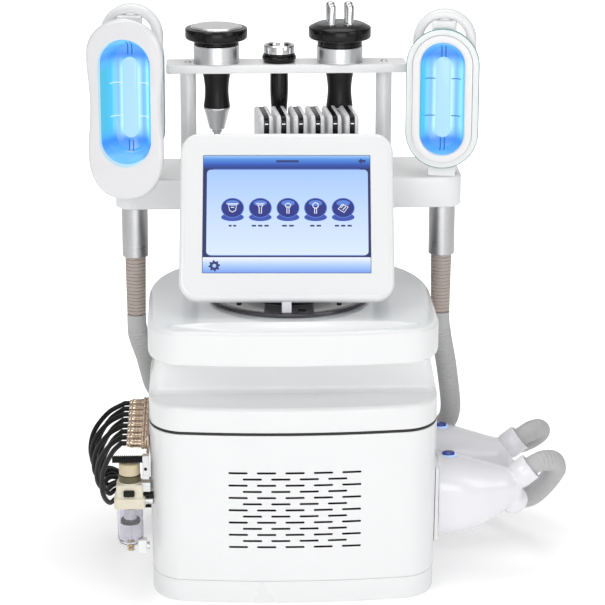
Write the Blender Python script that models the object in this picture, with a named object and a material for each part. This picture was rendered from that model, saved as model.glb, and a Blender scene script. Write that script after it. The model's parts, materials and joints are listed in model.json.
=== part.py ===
# Desktop body-contouring machine: a white cabinet with a touch screen, an accessory shelf on two posts,
# three hand pieces hung in a rail, six laser pads, two cooling handles on the shelf and two at the side.
# Metres, +Z up, front towards -Y. The origin is the centre of the flat underside.
import math

import bmesh
import bpy
import numpy as np
from mathutils import Euler, Matrix, Vector

MM = 0.001

# Clearances and shared fine sizes
SEAT_GAP = 0.3 * MM
SLIDE_GAP = 0.9 * MM
CUT_OVERRUN = 3 * MM
EDGE_SOFT = 1.2 * MM
SMOOTH_ANGLE = math.radians(32)
QUARTER_TURN = 90

# Cabinet plan
CABINET_HALF_WIDTH = 181 * MM
CABINET_DEPTH = 330 * MM
CABINET_FRONT_Y = -CABINET_DEPTH / 2
CABINET_REAR_Y = CABINET_DEPTH / 2
FRONT_BOW = 9 * MM
FRONT_CORNER_X = 47 * MM
FRONT_CORNER_Y = 58 * MM
REAR_CORNER_X = 78 * MM
REAR_CORNER_Y = 140 * MM
CORNER_STEPS = 5
BOW_STEPS = 4
WALL = 4 * MM

# Cabinet heights
BASE_INSET = 2.5 * MM
PLINTH_HEIGHT = 30 * MM
FLOOR = 4 * MM
SHELL_TOP_Z = 223.5 * MM
SEAM_HEIGHT = 3 * MM
SEAM_INSET = 1.6 * MM
HOUSING_BOTTOM_Z = SHELL_TOP_Z + SEAT_GAP
SEAM_TOP_Z = HOUSING_BOTTOM_Z + SEAM_HEIGHT
BAND_HEIGHT = 35.2 * MM
BAND_TOP_Z = SHELL_TOP_Z + BAND_HEIGHT
LEDGE_Y = -100 * MM
LEDGE_SINK = 6 * MM
HOUSING_HEIGHT = 52.3 * MM
HOUSING_TOP_Z = BAND_TOP_Z + HOUSING_HEIGHT
HOUSING_TOP_INSET = 10.5 * MM
HOUSING_FRONT_CORNER = 12 * MM

# Lid
LID_BOTTOM_Z = HOUSING_TOP_Z + SEAT_GAP
LID_HEIGHT = 44 * MM
LID_TOP_Z = HOUSING_TOP_Z + LID_HEIGHT
LID_ROUND = 6 * MM
LID_BOTTOM_ROUND = 8 * MM
LID_BOTTOM_INSET = 5 * MM
LID_TOP_WALL = 5 * MM
LID_POCKET_INSET = 26 * MM
LIP_HALF_WIDTH = 152 * MM
LIP_REAR_Y = -146 * MM
LIP_HEIGHT = 10 * MM
LIP_SET_BACK = 7 * MM
LIP_STEPS = 8

# Vents in the front
VENT_ROWS = 13
VENT_ROW_PITCH = 8.2 * MM
VENT_TOP_Z = 174.5 * MM
VENT_SLOT_LENGTH = 24 * MM
VENT_SLOT_HEIGHT = 2.6 * MM
VENT_SLOT_PITCH = 35.3 * MM
VENT_SLOTS_LONG_ROW = 5

# Rear panel, fan, inlet and switch
REAR_OPENING_HALF_X = 84 * MM
REAR_OPENING_Z0 = 40 * MM
REAR_OPENING_Z1 = 200 * MM
REAR_PANEL_LAP = 8 * MM
REAR_PANEL_THICK = 3 * MM
FAN_X = 38 * MM
FAN_Z = 128 * MM
FAN_FRAME_HALF = 40 * MM
FAN_FRAME_DEPTH = 24 * MM
FAN_BORE_R = 36.5 * MM
FAN_ROTOR_R = 35 * MM
FAN_HUB_R = 14 * MM
FAN_BLADES = 7
FAN_BLADE_THICK = 2 * MM
FAN_BLADE_PITCH = math.radians(38)
FAN_DEPTH = 16 * MM
FAN_RUN_GAP = 2 * MM
FAN_SPINDLE_R = 3 * MM
FAN_SPINDLE_LENGTH = 22 * MM
GRILLE_SLOTS = 7
GRILLE_SLOT_HEIGHT = 4 * MM
GRILLE_SLOT_PITCH = 9 * MM
INLET_X = -52 * MM
INLET_Z = 92 * MM
INLET_HALF_X = 14 * MM
INLET_HALF_Z = 10 * MM
INLET_DEPTH = 18 * MM
INLET_RIM = 3 * MM
SWITCH_Z = 132 * MM
SWITCH_HALF_X = 7.5 * MM
SWITCH_HALF_Z = 10.5 * MM
SWITCH_PIVOT_DEPTH = 2.5 * MM
SWITCH_BODY_DEPTH = 9 * MM
SWITCH_PROUD = 2.2 * MM
SWITCH_ROCK = math.radians(9)
SWITCH_GAP = 1 * MM
GLAND_X = 68 * MM
GLAND_Z = 178 * MM
MIDDLE_GLAND_Z = 76 * MM
LOW_GLAND_Z = 48 * MM
INNER_GLAND_X = 30 * MM
GLAND_R = 15 * MM
GLAND_LENGTH = 12 * MM

# Inside pieces
TANK_X = -0.486 * CABINET_HALF_WIDTH
TANK_Y = -30 * MM
TANK_HALF = (0.343 * CABINET_HALF_WIDTH, 78 * MM)
TANK_HEIGHT = 120 * MM
PUMP_X = 0.287 * CABINET_HALF_WIDTH
PUMP_Y = 10 * MM
PUMP_R = 34 * MM
PUMP_LENGTH = 0.663 * CABINET_HALF_WIDTH
PUMP_FOOT_HALF = 30 * MM
PUMP_FOOT_HEIGHT = 10 * MM
SUPPLY_X = 0.508 * CABINET_HALF_WIDTH
SUPPLY_Y = -96 * MM
SUPPLY_HALF = (0.287 * CABINET_HALF_WIDTH, 28 * MM)
SUPPLY_HEIGHT = 74 * MM
BOARD_X = 0 * MM
BOARD_Y = 40 * MM
BOARD_HALF = (0.58 * CABINET_HALF_WIDTH, 60 * MM)
BOARD_THICK = 2 * MM
BOARD_DROP = 22 * MM
BOARD_POST_R = 5 * MM
BOARD_POST_INSET = 9 * MM

# Screen: it stands on a turntable and leans back
SWIVEL_X = -1.5 * MM
SWIVEL_Y = 5 * MM
SWIVEL_REST = math.radians(-2)
TABLE_R = 105 * MM
TABLE_THICK = 5 * MM
TABLE_EDGE = 1.5 * MM
HUB_R = 60 * MM
HUB_THICK = 4 * MM
SCREEN_LEAN = math.radians(33)
SCREEN_WIDTH = 268.6 * MM
SCREEN_HEIGHT = 221 * MM
SCREEN_CORNER = 25 * MM
SCREEN_BOTTOM_Y = -105 * MM
SCREEN_BOTTOM_RISE = 24.3 * MM
SCREEN_SHIFT_X = -3 * MM
BEZEL_THICK = 14 * MM
BEZEL_ROUND = 5 * MM
DISPLAY_BOTTOM = 34.8 * MM
DISPLAY_TOP_BORDER = 30.2 * MM
DISPLAY_SIDE_BORDER = 29 * MM
DISPLAY_WIDTH = SCREEN_WIDTH - 2 * DISPLAY_SIDE_BORDER
DISPLAY_HEIGHT = SCREEN_HEIGHT - DISPLAY_BOTTOM - DISPLAY_TOP_BORDER
DISPLAY_SINK = 1 * MM
BACK_INSET = 12 * MM
BACK_DEPTH = 20 * MM
BACK_CORNER = 22 * MM
BACK_TAPER = 16 * MM
NECK_HALF_WIDTH = 32 * MM
NECK_LOW = 36 * MM
NECK_HIGH = 92 * MM
NECK_FOOT_FRONT_Y = -42 * MM
NECK_FOOT_REAR_Y = 24 * MM
STAY_X = -3 * MM
STAY_HALF_WIDTH = 6 * MM
STAY_FRONT_Y = -99 * MM
STAY_REAR_Y = -90 * MM
STAY_STRIP = 4 * MM
STAY_FOOT_SHARE = 0.9

# Shelf, posts and rail
STEM_OUT = 18 * MM
STEM_X = CABINET_HALF_WIDTH + STEM_OUT
SHELF_PAST_STEM = 24 * MM
SHELF_HALF_LENGTH = STEM_X + SHELF_PAST_STEM
SHELF_FRONT_Y = 43 * MM
SHELF_DEPTH = 118 * MM
SHELF_RISE = 104 * MM
SHELF_BOTTOM_Z = LID_TOP_Z + SHELF_RISE
SHELF_THICK = 41 * MM
SHELF_CORNER = 22 * MM
SHELF_EDGE = 3 * MM
SHELF_TOP_Z = SHELF_BOTTOM_Z + SHELF_THICK
POST_SPACING = 254 * MM
POST_R = 10.4 * MM
POST_Y = 120 * MM
POST_FOOT_R = 16 * MM
POST_FOOT_THICK = 4 * MM
RAIL_CENTRE_X = -1.5 * MM
RAIL_HALF_LENGTH = 155 * MM
RAIL_DEPTH = 45 * MM
RAIL_THICK = 11.7 * MM
RAIL_RISE = 125 * MM
RAIL_BOTTOM_Z = SHELF_TOP_Z + RAIL_RISE
RAIL_CORNER = 5 * MM
RAIL_TOP_Z = RAIL_BOTTOM_Z + RAIL_THICK
RAIL_EDGE = 1 * MM

# Hand pieces in the rail
PIECE_STEPS = 18
CAV_X = -91.5 * MM
BODY_X = 68 * MM
FACE_X = -10.5 * MM
COLLAR_R = 29.6 * MM
COLLAR_HEIGHT = 16 * MM
RING_R = 28.8 * MM
RING_HEIGHT = 13.5 * MM
HEAD_R = 40.2 * MM
HEAD_HEIGHT = 15 * MM
HEAD_UNDERCUT = 3 * MM
CAV_FACE_R = 31 * MM
CAV_FACE_HEIGHT = 3 * MM
HEAD_CHAMFER = 5 * MM
PIN_R = 5.7 * MM
PIN_HEIGHT = 26 * MM
PIN_OFFSET = 11.6 * MM
PIN_STEPS = 10
PIN_DOME_SHARES = (0.8, 0.4)
PIN_ROOF = 4 * MM
PIN_PLATE_R = 23 * MM
PIN_PLATE_THICK = 3 * MM
SHANK_R = 9 * MM
GRIP_FLARE = 1.06
GRIP_FLARE_SHARE = 0.66
GRIP_TOP_R = 18.4 * MM
GRIP_WAIST_R = 15.4 * MM
GRIP_LOW_R = 17.3 * MM
GRIP_WAIST_DROP = 39 * MM
GRIP_LOW_DROP = 59 * MM
CONE_DROP = 88 * MM
CONE_END_R = 10.3 * MM
TAIL_R = 4.5 * MM
TAIL_DROP = 102 * MM
FACE_FLANGE_R = 20.5 * MM
FACE_FLANGE_HEIGHT = 2.5 * MM
FACE_BULGE_R = 22 * MM
FACE_BULGE_HEIGHT = 8.5 * MM
FACE_TIP_R = 20 * MM
FACE_TIP_HEIGHT = 11 * MM
FACE_TIP_BORE_R = 15.5 * MM
FACE_TIP_BORE_DEPTH = 6 * MM
FACE_GRIP_TOP_R = 11.7 * MM
FACE_GRIP_LOW_R = 9.6 * MM
FACE_GRIP_DROP = 70 * MM
FACE_TAIL_DROP = 98 * MM

# Laser pads standing in pockets of the shelf
PAD_COUNT = 6
PAD_FIRST_X = -28.5 * MM
PAD_PITCH = 21.9 * MM
PAD_THICK = 17.5 * MM
PAD_DEPTH = 50 * MM
PAD_FRONT_Y = 50 * MM
PAD_TURN = math.radians(8)
PAD_POCKET_DEPTH = 8 * MM
PAD_FRONT_HEIGHT = 78.5 * MM
PAD_REAR_RISE = 5 * MM
PAD_CORNER = 7 * MM
PAD_EDGE = 3 * MM
PAD_POCKET_GAP = 0.7 * MM

# Cooling handles on the shelf, in each one's own frame: stem axis at x = y = 0, front towards -Y
STEM_Y = 66 * MM
HANDLE_TURN = math.radians(-10)
FERRULE_R = 16.9 * MM
FERRULE_DROP = 66 * MM
FERRULE_BOTTOM_Z = SHELF_BOTTOM_Z - FERRULE_DROP
SLEEVE_R = 13.4 * MM
SLEEVE_LOW_R = 12.2 * MM
SLEEVE_LENGTH = 79 * MM
SLEEVE_RIBS = 1
SLEEVE_RIB = 0.8 * MM
SLEEVE_BORE_R = 9 * MM
BODY_WIDTH = 81 * MM
BODY_HEIGHT = 169 * MM
BODY_STAND = 17.5 * MM
FLANGE_SIDE_LAP = 6 * MM
FLANGE_END_LAP = 5.5 * MM
FLANGE_WIDTH = BODY_WIDTH + 2 * FLANGE_SIDE_LAP
FLANGE_HEIGHT = BODY_HEIGHT + 2 * FLANGE_END_LAP
FLANGE_CENTRE_Z = SHELF_TOP_Z + BODY_STAND + BODY_HEIGHT / 2
FLANGE_FRONT_Y = -28 * MM
FLANGE_THICK = 5 * MM
RIM_INSET = 2.5 * MM
RIM_WIDTH = BODY_WIDTH - 2 * RIM_INSET
RIM_HEIGHT = BODY_HEIGHT - 2 * RIM_INSET
RIM_PROUD = 3 * MM
RIM_SIDE_WALL = 10 * MM
RIM_END_WALL = 9.5 * MM
WINDOW_WIDTH = RIM_WIDTH - 2 * RIM_SIDE_WALL
WINDOW_HEIGHT = RIM_HEIGHT - 2 * RIM_END_WALL
WINDOW_DEPTH = 16 * MM
CUP_GAP = 0.5 * MM
CUP_FLOOR = 4 * MM
CUP_CORE_WIDTH = 0.357 * WINDOW_WIDTH
CUP_CORE_HEIGHT = WINDOW_HEIGHT - 0.732 * WINDOW_WIDTH
CUP_CORE_PROUD = 4 * MM
BODY_REAR_Y = 20 * MM
BODY_REAR_INSET = 12 * MM
NECK_TAB_WIDTH = 35 * MM
NECK_TAB_FRONT_Y = -22 * MM
NECK_TAB_REAR_Y = 18 * MM
TOP_TAB_WIDTH = 30 * MM
TOP_TAB_RISE = 13.5 * MM
TOP_TAB_TOP_Z = FLANGE_CENTRE_Z + BODY_HEIGHT / 2 + TOP_TAB_RISE
TOP_TAB_FRONT_Y = -20 * MM
TOP_TAB_REAR_Y = -1 * MM
HOOP_WIDTH = 80.6 * MM
HOOP_RISE = 27 * MM
HOOP_TOP_Z = FLANGE_CENTRE_Z + BODY_HEIGHT / 2 + HOOP_RISE
HOOP_BAND = 12.5 * MM
HOOP_FRONT_Y = -8 * MM
HOOP_REAR_Y = 8 * MM
HOOP_HEIGHT = 73.5 * MM
HOOP_BOTTOM_Z = HOOP_TOP_Z - HOOP_HEIGHT
LEFT_RAISE = 9 * MM
STADIUM_STEPS = 8

# Contoured cup on the left handle; its half widths are shares at height shares, top to bottom
SHROUD_HALF_WIDTH = 49 * MM
SHROUD_TOP_DROP = 1.5 * MM
SHROUD_TOP_Z = HOOP_TOP_Z - SHROUD_TOP_DROP
SHROUD_HANG = 20 * MM
SHROUD_BOTTOM_Z = SHELF_TOP_Z - SHROUD_HANG
SHROUD_FRONT_Y = -56 * MM
SHROUD_HEIGHT_SHARES = (0.0, 0.012, 0.045, 0.1, 0.17, 0.26, 0.36, 0.47, 0.58, 0.69, 0.79, 0.87, 0.93, 0.97,
                        0.992, 1.0)
SHROUD_WIDTH_SHARES = (0.0, 0.30, 0.62, 0.86, 0.985, 1.0, 0.965, 0.935, 0.95, 0.99, 0.985, 0.9, 0.74, 0.53,
                       0.28, 0.0)
SHROUD_BACK_SHARE = 0.86
SHROUD_SIDE_ROOM = 4.5 * MM
SHROUD_END_ROOM = 8.25 * MM
SHROUD_WINDOW_LIFT = 2 * MM
SHROUD_WINDOW_WIDTH = WINDOW_WIDTH + 2 * SHROUD_SIDE_ROOM
SHROUD_WINDOW_HEIGHT = WINDOW_HEIGHT + 2 * SHROUD_END_ROOM
SHROUD_WINDOW_Z = FLANGE_CENTRE_Z + SHROUD_WINDOW_LIFT
SHROUD_SADDLE = 7 * MM
SHROUD_ROUND = 4 * MM

# Cooling handles at the right side, mouths towards the cabinet
SIDE_FRONT_Y = -58 * MM
SIDE_REAR_Y = 54 * MM
HOLSTER_THICK = 3 * MM
HOLSTER_HALF_HEIGHT = 46 * MM
HOLSTER_CENTRE_Z = 107 * MM
HOLSTER_MARGIN = 34 * MM
HOLSTER_STEPS = 9
HOLSTER_BOSS_LENGTH = 20 * MM
SIDE_WALL = 7 * MM
SIDE_MOUTH_DEPTH = 30 * MM
SIDE_MOUTH_FLOOR_SHARE = 0.82
SIDE_BOSS_GAP = 2.5 * MM
SIDE_STEPS = 16
SIDE_SECTION_X = (0.0, 31 * MM, 58 * MM, 78 * MM, 92 * MM, 103 * MM)
SIDE_SECTION_Z = (107 * MM, 106.5 * MM, 106.5 * MM, 109.5 * MM, 112 * MM, 113 * MM)
SIDE_SECTION_HALF_Z = (54 * MM, 48.6 * MM, 40.8 * MM, 32 * MM, 26 * MM, 19 * MM)
SIDE_SECTION_HALF_Y = (47 * MM, 45.5 * MM, 40 * MM, 32 * MM, 26 * MM, 19 * MM)
SIDE_SQUARENESS = 2.6
SIDE_LOBE_X = 101 * MM
SIDE_LOBE_Z = 96 * MM
SIDE_LOBE_R = 19 * MM
LOBE_STEPS = 12
SIDE_COLLAR_RISE = math.radians(38)
SIDE_COLLAR_START_X = 88 * MM
SIDE_COLLAR_START_Z = 114 * MM
SIDE_COLLAR_LENGTH = 44 * MM
SIDE_COLLAR_R = 17.8 * MM
SIDE_NECK_R = 16.4 * MM
SIDE_NECK_SHARE = 0.5
SIDE_SOCKET_DEPTH = 8 * MM
SIDE_SOCKET_R = 15 * MM
BUTTON_X = 16 * MM
BUTTON_HALF = (8 * MM, 6 * MM)
BUTTON_PROUD = 1.6 * MM
BUTTON_DEPTH = 5 * MM
BUTTON_TRAVEL = 1.5 * MM
BUTTON_GAP = 0.5 * MM
BUTTON_STEPS = 14
BUTTON_SEAT_Z = 156.2 * MM

# Hoses
HOSE_R = 12.4 * MM
HOSE_RIB = 0.9 * MM
HOSE_BORE_R = 8.6 * MM
HOSE_PLAIN = 2 * HOSE_R
HOSE_RIBS = 14
SIDE_HOSE_RIBS = 14
SIDE_HOSE_LEAD = 8.5 * MM

# Connectors and cables at the left side
PLUG_COUNT = 8
PLUG_FIRST_Y = -96 * MM
PLUG_PITCH = 22.5 * MM
PLUG_Z = 192 * MM
PLUG_R = 4.8 * MM
PLUG_LENGTH = 27 * MM
PLUG_NUT_R = 7.5 * MM
PLUG_NUT_LENGTH = 5 * MM
PLUG_STEPS = 8
CONNECTOR_PLATE_THICK = 3 * MM
CONNECTOR_PLATE_HALF_Z = 13 * MM
CONNECTOR_PLATE_MARGIN = 11 * MM
CABLE_R = 3.2 * MM
CABLE_SPACING = 28 * MM
CLAMP_OUT = 11 * MM
CLAMP_X = -CABINET_HALF_WIDTH - CLAMP_OUT
CLAMP_Y = 104 * MM
CLAMP_Z = 46 * MM
CLAMP_HALF = (17 * MM, 9 * MM, 15 * MM)
CABLE_ROW_PITCH = 7.6 * MM
CABLE_ROW_COUNT = 4
BUNDLE_R = 10 * MM
CABLE_REACHES = (34 * MM, 41 * MM, 36 * MM, 46 * MM, 40 * MM, 50 * MM, 45 * MM, 53 * MM)
CABLE_LOWS = (72 * MM, 86 * MM, 76 * MM, 90 * MM, 80 * MM, 94 * MM, 85 * MM, 90 * MM)
CABLE_SHAPE = ((0.55, 0.06, 0.14), (0.92, 0.18, 0.42), (1.0, 0.32, 0.74), (0.78, 0.48, 0.96), (0.42, 0.66,
        1.0))

# Filter and regulator at the left side
FILTER_OUT = 25 * MM
FILTER_X = -CABINET_HALF_WIDTH - FILTER_OUT
FILTER_Y = -118 * MM
FILTER_STEPS = 16
KNOB_R = 13.2 * MM
KNOB_BOTTOM_Z = 159.5 * MM
KNOB_HEIGHT = 15.5 * MM
NECK_BAND_R = 13.8 * MM
NECK_BAND_BOTTOM_Z = 151 * MM
FILTER_UPPER_R = 14.2 * MM
FILTER_UPPER_BOTTOM_Z = 136 * MM
FILTER_BLOCK_HALF = 19.5 * MM
FILTER_BLOCK_HALF_Y = 17 * MM
FILTER_BLOCK_BOTTOM_Z = 117.5 * MM
BOWL_R = 16.2 * MM
BOWL_LOW_R = 13 * MM
BOWL_BOTTOM_Z = 68 * MM
BOWL_WALL = 2 * MM
BOWL_BORE_R = 2.5 * MM
DRAIN_R = 5 * MM
DRAIN_BOTTOM_Z = 57 * MM
DRAIN_TIP_SHARE = 0.7
BRACKET_HALF_Y = 9 * MM

for old in list(bpy.data.objects):
    bpy.data.objects.remove(old)


# Materials
def material(name, colour, roughness, metallic=0.0, alpha=1.0):
    made = bpy.data.materials.new(name)
    made.use_nodes = True
    shader = made.node_tree.nodes["Principled BSDF"]
    shader.inputs["Base Color"].default_value = (*colour, 1.0)
    shader.inputs["Roughness"].default_value = roughness
    shader.inputs["Metallic"].default_value = metallic
    shader.inputs["Alpha"].default_value = alpha
    return made


FINISHES = {
    "gloss_white": ((0.93, 0.94, 0.95), 0.18, 0.0, 1.0),
    "base_white": ((0.9, 0.91, 0.92), 0.3, 0.0, 1.0),
    "dark_gloss": ((0.13, 0.12, 0.14), 0.12, 0.0, 1.0),
    "display_blue": ((0.35, 0.55, 0.95), 0.15, 0.0, 1.0),
    "grip_black": ((0.03, 0.03, 0.035), 0.22, 0.0, 1.0),
    "satin_silver": ((0.78, 0.78, 0.79), 0.32, 1.0, 1.0),
    "bright_chrome": ((0.85, 0.85, 0.86), 0.08, 1.0, 1.0),
    "brushed_tube": ((0.66, 0.66, 0.67), 0.34, 1.0, 1.0),
    "clear_plastic": ((0.78, 0.9, 0.9), 0.05, 0.0, 0.35),
    "cup_blue": ((0.35, 0.66, 1.0), 0.2, 0.0, 1.0),
    "hose_grey": ((0.6, 0.6, 0.6), 0.5, 0.0, 1.0),
    "button_navy": ((0.12, 0.18, 0.45), 0.3, 0.0, 1.0),
    "cable_black": ((0.025, 0.025, 0.025), 0.45, 0.0, 1.0),
    "plug_champagne": ((0.74, 0.64, 0.54), 0.3, 1.0, 1.0),
    "filter_cream": ((0.88, 0.85, 0.74), 0.35, 0.0, 1.0),
    "panel_grey": ((0.55, 0.56, 0.58), 0.4, 0.0, 1.0),
    "machine_grey": ((0.35, 0.36, 0.38), 0.5, 0.3, 1.0),
    "board_green": ((0.05, 0.25, 0.12), 0.5, 0.0, 1.0),
}
MATERIALS = {name: material(name, *values) for name, values in FINISHES.items()}


# Building blocks
def add(name, mesh, finish, at=(0, 0, 0), turn=(0, 0, 0), parent=None):
    body = bpy.data.objects.new(name, mesh)
    bpy.context.scene.collection.objects.link(body)
    body.location = at
    body.rotation_euler = turn
    body.parent = parent
    if finish:
        mesh.materials.append(MATERIALS[finish])
    return body


def frame(name, at, turn=(0, 0, 0), parent=None):
    guide = bpy.data.objects.new(name, None)
    bpy.context.scene.collection.objects.link(guide)
    guide.location = at
    guide.rotation_euler = turn
    guide.parent = parent
    return guide


def finish_mesh(bm, name):
    bmesh.ops.recalc_face_normals(bm, faces=bm.faces)
    mesh = bpy.data.meshes.new(name)
    bm.to_mesh(mesh)
    bm.free()
    mesh.shade_smooth()
    mesh.set_sharp_from_angle(angle=SMOOTH_ANGLE)
    return mesh


def loft_mesh(name, rings, closed=False):
    """Quads between rings of equal count; one-point rings close to a tip; ends are capped unless closed."""
    bm = bmesh.new()
    rows = [[bm.verts.new(p) for p in ring] for ring in rings]
    pairs = list(zip(rows, rows[1:])) + ([(rows[-1], rows[0])] if closed else [])
    for low, high in pairs:
        count = max(len(low), len(high))
        for i in range(count):
            j = (i + 1) % count
            if len(low) == 1:
                bm.faces.new((low[0], high[j], high[i]))
            elif len(high) == 1:
                bm.faces.new((low[i], low[j], high[0]))
            else:
                bm.faces.new((low[i], low[j], high[j], high[i]))
    if not closed:
        for row in (rows[0], rows[-1]):
            if len(row) > 2:
                bm.faces.new(row)
    return finish_mesh(bm, name)


def prism_mesh(name, outline, z0, z1):
    return loft_mesh(name, [[(x, y, z0) for x, y in outline], [(x, y, z1) for x, y in outline]])


def turned_mesh(name, profile, steps, closed=False):
    """A turned shape about Z from (radius, height) pairs listed upwards."""
    rings = []
    for r, z in profile:
        if r == 0:
            rings.append([(0, 0, z)])
        else:
            rings.append([
                (r * math.cos(math.tau * i / steps), r * math.sin(math.tau * i / steps),
                 z) for i in range(steps)
            ])
    return loft_mesh(name, rings, closed)


def box_mesh(name, low, high):
    (x0, y0, z0), (x1, y1, z1) = low, high
    return prism_mesh(name, [(x0, y0), (x1, y0), (x1, y1), (x0, y1)], z0, z1)


def side_mesh(name, outline, half_width):
    """An outline in Y and Z, extruded across X."""
    return loft_mesh(name, [[(-half_width, y, z) for y, z in outline], [(half_width, y, z) for y,
            z in outline]])


def front_mesh(name, outline, y0, y1):
    """An outline in X and Z, extruded along Y."""
    return loft_mesh(name, [[(x, y1, z) for x, z in outline], [(x, y0, z) for x, z in outline]])


def soften(body, width, segments=2, angle=math.radians(50)):
    bevel = body.modifiers.new("soft_edges", "BEVEL")
    bevel.width = width
    bevel.segments = segments
    bevel.limit_method = "ANGLE"
    bevel.angle_limit = angle
    return body


def combine(body, mesh, operation, at=(0, 0, 0), turn=(0, 0, 0), parent=None):
    tool = add(f"{body.name}_{operation.lower()}_{len(body.modifiers)}", mesh, None, at, turn,
               parent or body.parent)
    tool.hide_render = True
    tool.display_type = "WIRE"
    boolean = body.modifiers.new(tool.name, "BOOLEAN")
    boolean.operation = operation
    boolean.solver = "EXACT"
    boolean.object = tool
    return tool


def cut(body, mesh, **placing):
    return combine(body, mesh, "DIFFERENCE", **placing)


def join(body, mesh, **placing):
    return combine(body, mesh, "UNION", **placing)


def arc(cx, cy, rx, ry, start, end, steps):
    angles = [math.radians(start + (end - start) * i / steps) for i in range(steps + 1)]
    return [(cx + rx * math.cos(a), cy + ry * math.sin(a)) for a in angles]


def rounded_box(half_x, half_y, corner, steps=4):
    points = []
    for quarter, (sx, sy) in enumerate(((1, -1), (1, 1), (-1, 1), (-1, -1))):
        start = (quarter - 1) * QUARTER_TURN
        points += arc(sx * (half_x - corner), sy * (half_y - corner), corner, corner, start,
                      start + QUARTER_TURN, steps)
    return points


def stadium(width, height, centre_z=0.0, steps=STADIUM_STEPS):
    r, run = width / 2, (height - width) / 2
    return arc(0, centre_z + run, r, r, 0, 180, steps) + arc(0, centre_z - run, r, r, 180, 360, steps)


def cabinet_plan(inset=0.0, front_y=None, corner=None):
    """The cabinet's outline from above, anticlockwise from the front's left end."""
    half = CABINET_HALF_WIDTH - inset
    front = CABINET_FRONT_Y + inset if front_y is None else front_y
    bow = FRONT_BOW if front_y is None else 0.0
    fx, fy = (FRONT_CORNER_X - inset, FRONT_CORNER_Y - inset) if corner is None else (corner, corner)
    rx, ry = REAR_CORNER_X - inset, REAR_CORNER_Y - inset
    run = half - fx
    points = [(-run + 2 * run * i / BOW_STEPS,
               front + bow * (2 * i / BOW_STEPS - 1) ** 2) for i in range(BOW_STEPS)]
    points += arc(run, front + bow + fy, fx, fy, -90, 0, CORNER_STEPS)
    points += arc(half - rx, CABINET_REAR_Y - inset - ry, rx, ry, 0, 90, CORNER_STEPS)
    points += arc(-half + rx, CABINET_REAR_Y - inset - ry, rx, ry, 90, 180, CORNER_STEPS)
    points += arc(-run, front + bow + fy, fx, fy, 180, 270, CORNER_STEPS)[:-1]
    return points


def cabinet_side_x(y):
    """Distance from the middle to the cabinet's side at a depth."""
    rear_centre = CABINET_REAR_Y - REAR_CORNER_Y
    front_centre = CABINET_FRONT_Y + FRONT_BOW + FRONT_CORNER_Y
    if y > rear_centre:
        share = (y - rear_centre) / REAR_CORNER_Y
        return CABINET_HALF_WIDTH - REAR_CORNER_X * (1 - math.sqrt(max(0.0, 1 - share * share)))
    if y < front_centre:
        share = (front_centre - y) / FRONT_CORNER_Y
        return CABINET_HALF_WIDTH - FRONT_CORNER_X * (1 - math.sqrt(max(0.0, 1 - share * share)))
    return CABINET_HALF_WIDTH


def shell_side_x(y, z):
    """The same, less the shell's taper towards the base."""
    return cabinet_side_x(y) - BASE_INSET * (1 - z / SHELL_TOP_Z)


def ring_at(outline, z):
    return [(x, y, z) for x, y in outline]


def smooth_path(route, spacing):
    """Evenly spaced points on a smooth curve through the route's points."""
    pts = [np.array(p, float) for p in route]
    pts = [2 * pts[0] - pts[1]] + pts + [2 * pts[-1] - pts[-2]]
    fine = []
    for a, b, c, d in zip(pts, pts[1:], pts[2:], pts[3:]):
        for t in np.linspace(0, 1, 40, endpoint=False):
            fine.append(0.5 * (2 * b + (c - a) * t + (2 * a - 5 * b + 4 * c - d) * t**2
                               + (3 * b - a - 3 * c + d) * t**3))
    fine = np.array(fine + [pts[-2]])
    run = np.concatenate([[0], np.cumsum(np.linalg.norm(np.diff(fine, axis=0), axis=1))])
    count = max(2, int(round(run[-1] / spacing)) + 1)
    at = np.linspace(0, run[-1], count)
    return np.stack([np.interp(at, run, fine[:, k]) for k in range(3)], axis=1), run[-1]


def tube_curve(name, points, radius, radii=None, resolution=2):
    curve = bpy.data.curves.new(name, "CURVE")
    curve.dimensions = "3D"
    curve.bevel_depth = radius
    curve.bevel_resolution = resolution
    curve.use_fill_caps = True
    spline = curve.splines.new("POLY")
    spline.points.add(len(points) - 1)
    for i, point in enumerate(points):
        spline.points[i].co = (*point, 1.0)
        spline.points[i].radius = 1.0 if radii is None else radii[i]
    return curve


def tube_mesh(name, points, radius, radii=None, resolution=2):
    """The tube of a curve as a mesh, so that it can be cut and joined."""
    curve = tube_curve(name, points, radius, radii, resolution)
    holder = bpy.data.objects.new(name, curve)
    bpy.context.scene.collection.objects.link(holder)
    evaluated = holder.evaluated_get(bpy.context.evaluated_depsgraph_get())
    mesh = bpy.data.meshes.new_from_object(evaluated)
    mesh.name = name
    bpy.data.objects.remove(holder)
    bm = bmesh.new()
    bm.from_mesh(mesh)
    bmesh.ops.remove_doubles(bm, verts=bm.verts, dist=WELD)
    bmesh.ops.recalc_face_normals(bm, faces=bm.faces)
    bm.to_mesh(mesh)
    bm.free()
    mesh.shade_smooth()
    mesh.set_sharp_from_angle(angle=SMOOTH_ANGLE)
    return mesh


WELD = 0.005 * MM


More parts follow.
